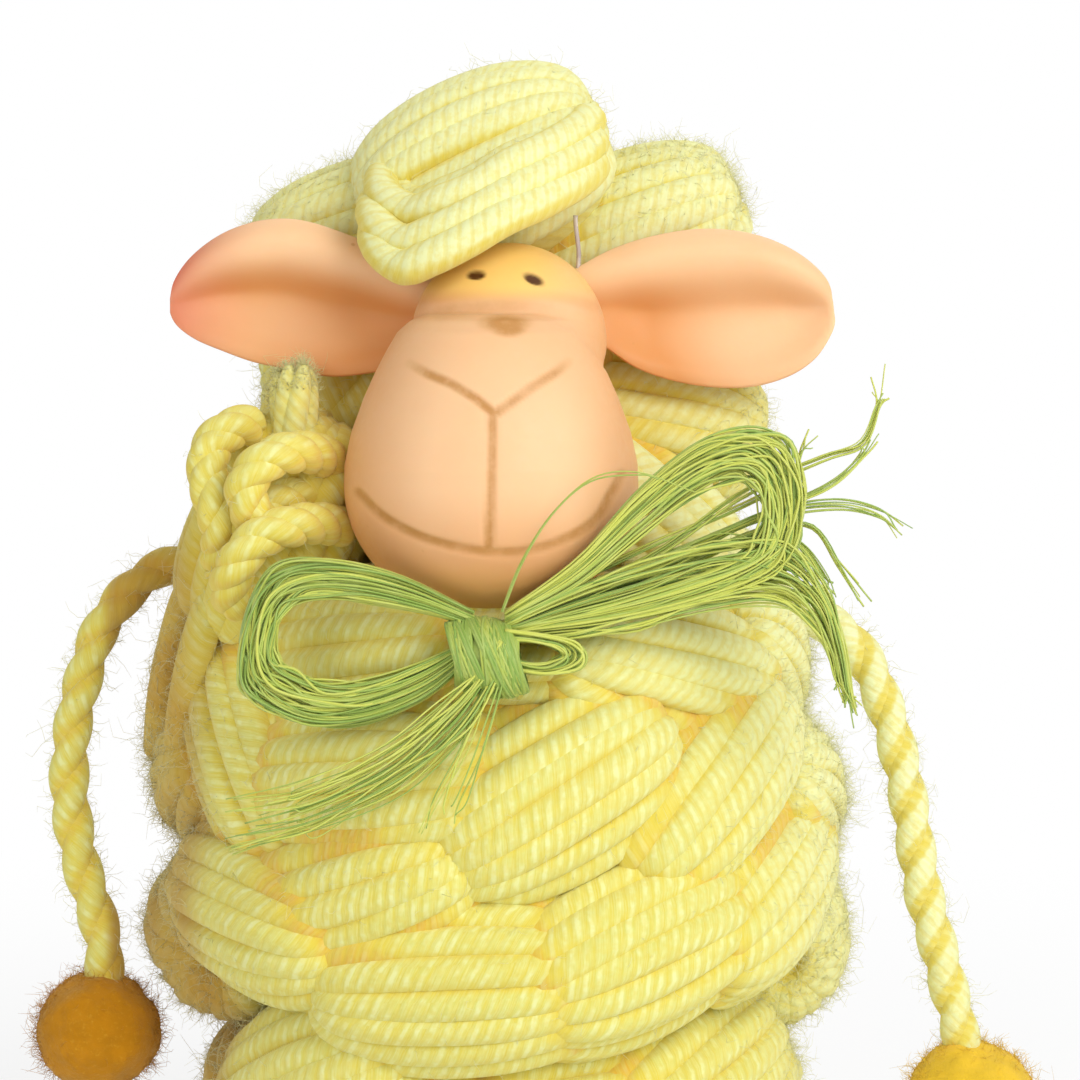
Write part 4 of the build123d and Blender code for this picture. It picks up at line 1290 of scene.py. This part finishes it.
class SHEEP_OT_bow(bpy.types.Operator):
    """Tie the bow of loose fibres"""

    bl_idname = "sheep.bow"
    bl_label = "Bow"

    def execute(self, context):
        thin = context.scene.sheep_sizes.fibre_radius
        rng = np.random.default_rng(7)
        for name, bundles in bow_bundles.items():
            tubes = Tubes()
            for outer, inner, count, forward, depth, loose in bundles:
                paths = between_routes(rng, outer, inner, count, forward, depth, loose)
                steps = paths.shape[1]
                taper = np.linspace(1, 0.6, steps)[None] if loose else 1
                thickness = thin * rng.uniform(0.6, 1.3, (count, 1)) * taper * np.ones((count, steps))
                tubes.add(paths, thickness, 4, shade=rng.uniform(0, 1, count))
            nodes = [f"bow_{name}"] if name.startswith(("loop", "tail")) else []
            finish_piece(tubes.mesh(f"bow_fibres_{name}"), materials["sisal"], "sisal", *nodes)

        # The knot: fibres wound round a barrel that also drift along it
        low, high = box_corners("bow_knot")
        middle, half = (low + high) / 2, (high - low) / 2
        tubes = Tubes()
        turns, strands = 7, 15
        steps = turns * 26
        angle = np.linspace(0, 2 * math.pi * turns, steps)[None] + rng.uniform(0, 2 * math.pi, (strands, 1))
        weave = rng.uniform(0, 2 * math.pi, (strands, 1)) + np.linspace(0, 2 * math.pi, steps)[None] * 1.5
        across = half[0] * 0.9 * np.sin(weave)
        size = half[1] * (1 - 0.2 * (across / half[0]) ** 2) * (0.97 + 0.035 * wander(rng, strands, steps, 9))
        upright = size * np.sin(angle) * 1.05
        paths = np.stack([
            middle[0] + across - 0.28 * upright, middle[1] + size * np.cos(angle), middle[2] + upright,
        ], axis=-1)
        # The wound fibres and the core are darkened with painted shade
        tubes.add(paths, thin * 1.3, 5, tone=0.4, shade=rng.uniform(0, 0.6, strands))
        core = np.linspace(-0.92, 0.92, 24)
        core_path = (middle + np.outer(core * half[0], [1, 0, 0]))[None]
        tubes.add(core_path, half[1] * 0.92 * (1 - 0.25 * core ** 2)[None], 40, tone=0.4, shade=0.4)
        finish_piece(tubes.mesh("bow_fibres_knot"), materials["sisal"], "sisal", "bow_knot")
        return {"FINISHED"}


# Arm routes, as the solids have them: side and height in millimetres, from the root to the hand
arm_forward = 5.0
arm_left_route = [
    (-42.5, 109.2), (-51.0, 109.2), (-58.4, 105.4), (-63.6, 98.4), (-66.6, 89.8), (-68.4, 80.4),
    (-68.8, 70.8), (-67.2, 61.6), (-64.6, 53.0), (-62.8, 45.4), (-63.4, 39.0),
]
arm_right_route = [
    (41.0, 101.0), (49.5, 101.0), (56.2, 96.6), (60.4, 88.8), (63.4, 79.4), (65.4, 69.4),
    (66.9, 59.4), (69.2, 49.6), (71.9, 40.6), (73.8, 32.8), (74.7, 26.8),
]
cord_diameter = 6.4 * mm


def route_line(route):
    """Points along the smooth line that an arm's route controls."""
    curve = bpy.data.curves.new("arm_route", "CURVE")
    curve.dimensions = "3D"
    curve.resolution_u = 12
    line = curve.splines.new("NURBS")
    line.points.add(len(route) - 1)
    for point, (side, height) in zip(line.points, route):
        point.co = (side * mm, -arm_forward * mm, height * mm, 1)
    line.order_u = 3
    line.use_endpoint_u = True
    holder = bpy.data.objects.new("arm_route", curve)
    bpy.context.scene.collection.objects.link(holder)
    mesh = bpy.data.meshes.new_from_object(holder)
    points = np.array([vertex.co[:] for vertex in mesh.vertices])
    bpy.data.objects.remove(holder)
    bpy.data.curves.remove(curve)
    bpy.data.meshes.remove(mesh)
    return points


# Loose hairs: how many stand on each arm, on each ball and on the sides and the tip of the cut end
arm_hairs, ball_hairs, stub_hairs, tip_hairs = 1500, 1900, 1200, 700
ball_hair_length, stub_hair_length, tip_hair_length = 2.2 * mm, 1.7 * mm, 1.5 * mm


def even_steps(points, count):
    """A line's points set at even steps, and its length."""
    run = run_along(points)
    places = np.linspace(0, run[-1], count)
    return np.stack([np.interp(places, run, points[:, k]) for k in range(3)], axis=1), run[-1]


class SHEEP_OT_arms(bpy.types.Operator):
    """Twist the two cord arms"""

    bl_idname = "sheep.arms"
    bl_label = "Arms"

    def execute(self, context):
        sizes = context.scene.sheep_sizes
        steps = 170
        for number, (side_name, route) in enumerate((("left", arm_left_route), ("right", arm_right_route))):
            rng = np.random.default_rng(40 + number)
            line, length = even_steps(route_line(route), steps)
            paths = twisted(line, 2, cord_diameter / 2 - sizes.arm_ply_radius, sizes.arm_pitch, rng)
            thickness = sizes.arm_ply_radius * (1 + 0.09 * wander(rng, 2, steps, 12))
            # The left arm starts in the shade of its shoulder
            tone = np.ones(steps)
            if side_name == "left":
                tone = 0.4 + 0.34 * smooth_step(np.linspace(0, 1, steps), 0.12, 0.4)
            tubes = Tubes()
            points = tubes.add(
                paths, thickness, 14, pitch=sizes.strand_pitch, tone=tone[None],
                shade=rng.uniform(0.1, 0.6, 2), outward=unit(paths - line[None]),
                drift=0.1 * wander(rng, 2, steps, 9),
            )
            normals = unit(points - paths[:, :, None])
            piece = tubes.mesh(f"arm_{side_name}_twisted")
            finish_piece(piece, materials["yarn"], "yarn", f"arm_{side_name}_cord", body=f"arm_{side_name}")
            hairs = Tubes()
            roots, ways = points.reshape(-1, 3), normals.reshape(-1, 3)
            add_fuzz(hairs, rng, roots, ways, arm_hairs, sizes.fuzz_length)
            fuzz = hairs.mesh(f"arm_{side_name}_fuzz")
            finish_piece(fuzz, materials["yarn"], "yarn", body=f"arm_{side_name}")
        return {"FINISHED"}


def lumps(rng, ways, count, fineness):
    """Uneven swelling of a ball, as the sum of many waves across it."""
    total = np.zeros(len(ways))
    for _ in range(count):
        total += rng.normal(0, 1) * np.cos(ways @ rng.normal(0, fineness, 3) + rng.uniform(0, 6))
    return total


class SHEEP_OT_hands(bpy.types.Operator):
    """Felt the two balls"""

    bl_idname = "sheep.hands"
    bl_label = "Hands"

    def execute(self, context):
        for number, (side_name, felt) in enumerate((("left", "felt_orange"), ("right", "felt_gold"))):
            rng = np.random.default_rng(60 + number)
            low, high = (Vector(corner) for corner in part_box(f"hand_{side_name}_ball"))
            radius = (high.x - low.x) / 2
            middle = Vector(((low.x + high.x) / 2, (low.y + high.y) / 2, low.z + radius))
            piece = add_primitive(
                bpy.ops.mesh.primitive_ico_sphere_add, f"hand_{side_name}_felt", subdivisions=5,
                radius=radius * 0.985,
            )
            points = shape_points(piece)
            ways = unit(points)
            swelling = 0.05 * lumps(rng, ways, 26, 5)
            swelling += 0.018 * lumps(rng, ways, 60, 34)
            points += ways * swelling[:, None] * mm
            points[:, 2] *= 0.97
            points += np.array(middle)
            set_points(piece, points)
            bpy.ops.object.shade_smooth()
            finish_piece(piece, materials[felt], felt, f"hand_{side_name}_ball", body=f"arm_{side_name}")
            tubes = Tubes()
            add_fuzz(tubes, rng, points, ways, ball_hairs, ball_hair_length, lying=0.8)
            finish_piece(tubes.mesh(f"hand_{side_name}_fuzz"), materials[felt], felt, body=f"arm_{side_name}")
        return {"FINISHED"}


class SHEEP_OT_trims(bpy.types.Operator):
    """Stand the cut yarn end and the clear thread"""

    bl_idname = "sheep.trims"
    bl_label = "Stub and thread"

    def execute(self, context):
        sizes = context.scene.sheep_sizes
        rng = np.random.default_rng(80)
        low, high = box_corners("yarn_stub")
        middle = (low + high) / 2
        tubes = Tubes()
        strands, steps = 6, 26
        climb = np.linspace(0, 1, steps)[None]
        reach = (high[2] - low[2] + 2.4 * mm) * rng.uniform(0.9, 1.0, (strands, 1))
        angle = np.arange(strands)[:, None] * 2 * math.pi / strands + 1.2 * climb
        ring = (1.7 + 0.7 * climb) * mm * rng.uniform(0.8, 1.1, (strands, 1))
        paths = np.stack([
            middle[0] + ring * np.cos(angle), middle[1] + ring * np.sin(angle), low[2] + reach * climb,
        ], axis=-1)
        thickness = 1.9 * mm * (1 - 0.7 * climb ** 8) * rng.uniform(0.9, 1.05, (strands, 1))
        # The cut end is a little darkened with painted shade
        points = tubes.add(
            paths, thickness, 12, pitch=sizes.strand_pitch, tone=0.75, shade=rng.uniform(0, 1, strands),
        )
        normals = unit(points - paths[:, :, None] + np.array([0, 0, 0.6 * mm]))
        roots, ways = points.reshape(-1, 3), normals.reshape(-1, 3)
        add_fuzz(tubes, rng, roots, ways, stub_hairs, stub_hair_length, lying=0.8, relief=0.4)
        tip = points[:, -6:].reshape(-1, 3)
        upwards = np.tile([0, -0.2, 1.0], (len(tip), 1))
        add_fuzz(tubes, rng, tip, upwards, tip_hairs, tip_hair_length, lying=0.2, relief=0.4)
        finish_piece(tubes.mesh("yarn_stub_strands"), materials["yarn"], "yarn", "yarn_stub")

        low, high = box_corners("tie_thread")
        middle = (low + high) / 2
        height = np.linspace(low[2], high[2], 14)
        sway = 0.25 * mm * np.sin(np.linspace(0, 5, 14))
        path = np.stack([middle[0] + sway, middle[1] + 0 * sway, height], axis=-1)[None]
        tubes = Tubes()
        tubes.add(path, (high[0] - low[0]) / 2 * 0.8, 10)
        finish_piece(tubes.mesh("tie_thread_line"), materials["thread"], "thread", "tie_thread")
        return {"FINISHED"}


# Studio: even light from all round, and lamps as name, place, power in watts and size in metres
ambient = 0.46
lamps = [
    ("key lamp", (0.5, -0.65, 0.55), 5.8, 0.6),
    ("fill lamp", (-0.5, -0.8, 0.3), 1.7, 0.6),
    ("rim lamp", (0.1, 0.5, 0.7), 1.5, 0.5),
]


def stand(scene, name, data, place, way):
    """Stands a lamp or a camera at a place, turned to look along a way."""
    piece = bpy.data.objects.new(name, data)
    scene.collection.objects.link(piece)
    piece.location = place
    piece.rotation_mode = "QUATERNION"
    piece.rotation_quaternion = way.to_track_quat("-Z", "Y")
    return piece


class SHEEP_OT_stage(bpy.types.Operator):
    """Set the pale floor, the lights and the camera"""

    bl_idname = "sheep.stage"
    bl_label = "Stage"

    def execute(self, context):
        scene = context.scene
        floor = add_primitive(bpy.ops.mesh.primitive_plane_add, "pale_floor", size=5)
        floor.data.materials.append(floor_material())

        world = bpy.data.worlds.new("studio")
        scene.world = world
        world.use_nodes = True
        tree = world.node_tree
        strength = maths(tree, "ADD", product(tree, seen_directly(tree), 1 - ambient), ambient)
        feed_all(tree, tree.nodes["Background"], {"Color": (1, 1, 1, 1), "Strength": strength})

        for name, place, power, size in lamps:
            data = bpy.data.lights.new(name, "AREA")
            data.energy = power
            data.size = size
            stand(scene, name, data, place, camera_target - Vector(place))

        data = bpy.data.cameras.new("camera")
        data.sensor_width = camera_sensor
        data.lens = camera_lens
        data.clip_start, data.clip_end = 0.01, 20
        scene.camera = stand(scene, "camera", data, camera_place, -camera_back)
        scene.view_settings.view_transform = "Standard"
        return {"FINISHED"}


class SHEEP_PT_panel(bpy.types.Panel):
    """Lists the pieces, their sizes and colours."""

    bl_label = "Yarn Sheep"
    bl_idname = "SHEEP_PT_panel"
    bl_space_type = "VIEW_3D"
    bl_region_type = "UI"
    bl_category = "Yarn Sheep"

    def draw(self, context):
        column = self.layout.column()
        for operator in operators:
            column.operator(operator.bl_idname)
        for group in (context.scene.sheep_sizes, context.scene.sheep_colours):
            for key in group.bl_rna.properties.keys():
                if key not in ("rna_type", "name"):
                    column.prop(group, key)


operators = (
    SHEEP_OT_materials, SHEEP_OT_stage, SHEEP_OT_arms, SHEEP_OT_hands, SHEEP_OT_fleece, SHEEP_OT_face,
    SHEEP_OT_ears, SHEEP_OT_bow, SHEEP_OT_trims,
)


def register():
    for kind in (SheepSizes, SheepColours, *operators, SHEEP_PT_panel):
        bpy.utils.register_class(kind)
    bpy.types.Scene.sheep_sizes = PointerProperty(type=SheepSizes)
    bpy.types.Scene.sheep_colours = PointerProperty(type=SheepColours)


def unregister():
    del bpy.types.Scene.sheep_colours
    del bpy.types.Scene.sheep_sizes
    for kind in reversed((SheepSizes, SheepColours, *operators, SHEEP_PT_panel)):
        bpy.utils.unregister_class(kind)


def main():
    register()
    bpy.ops.sheep.materials()
    bpy.ops.sheep.stage()
    bpy.ops.sheep.arms()
    bpy.ops.sheep.hands()
    bpy.ops.sheep.fleece()
    bpy.ops.sheep.face()
    bpy.ops.sheep.ears()
    bpy.ops.sheep.bow()
    bpy.ops.sheep.trims()


if __name__ == "__main__":
    main()
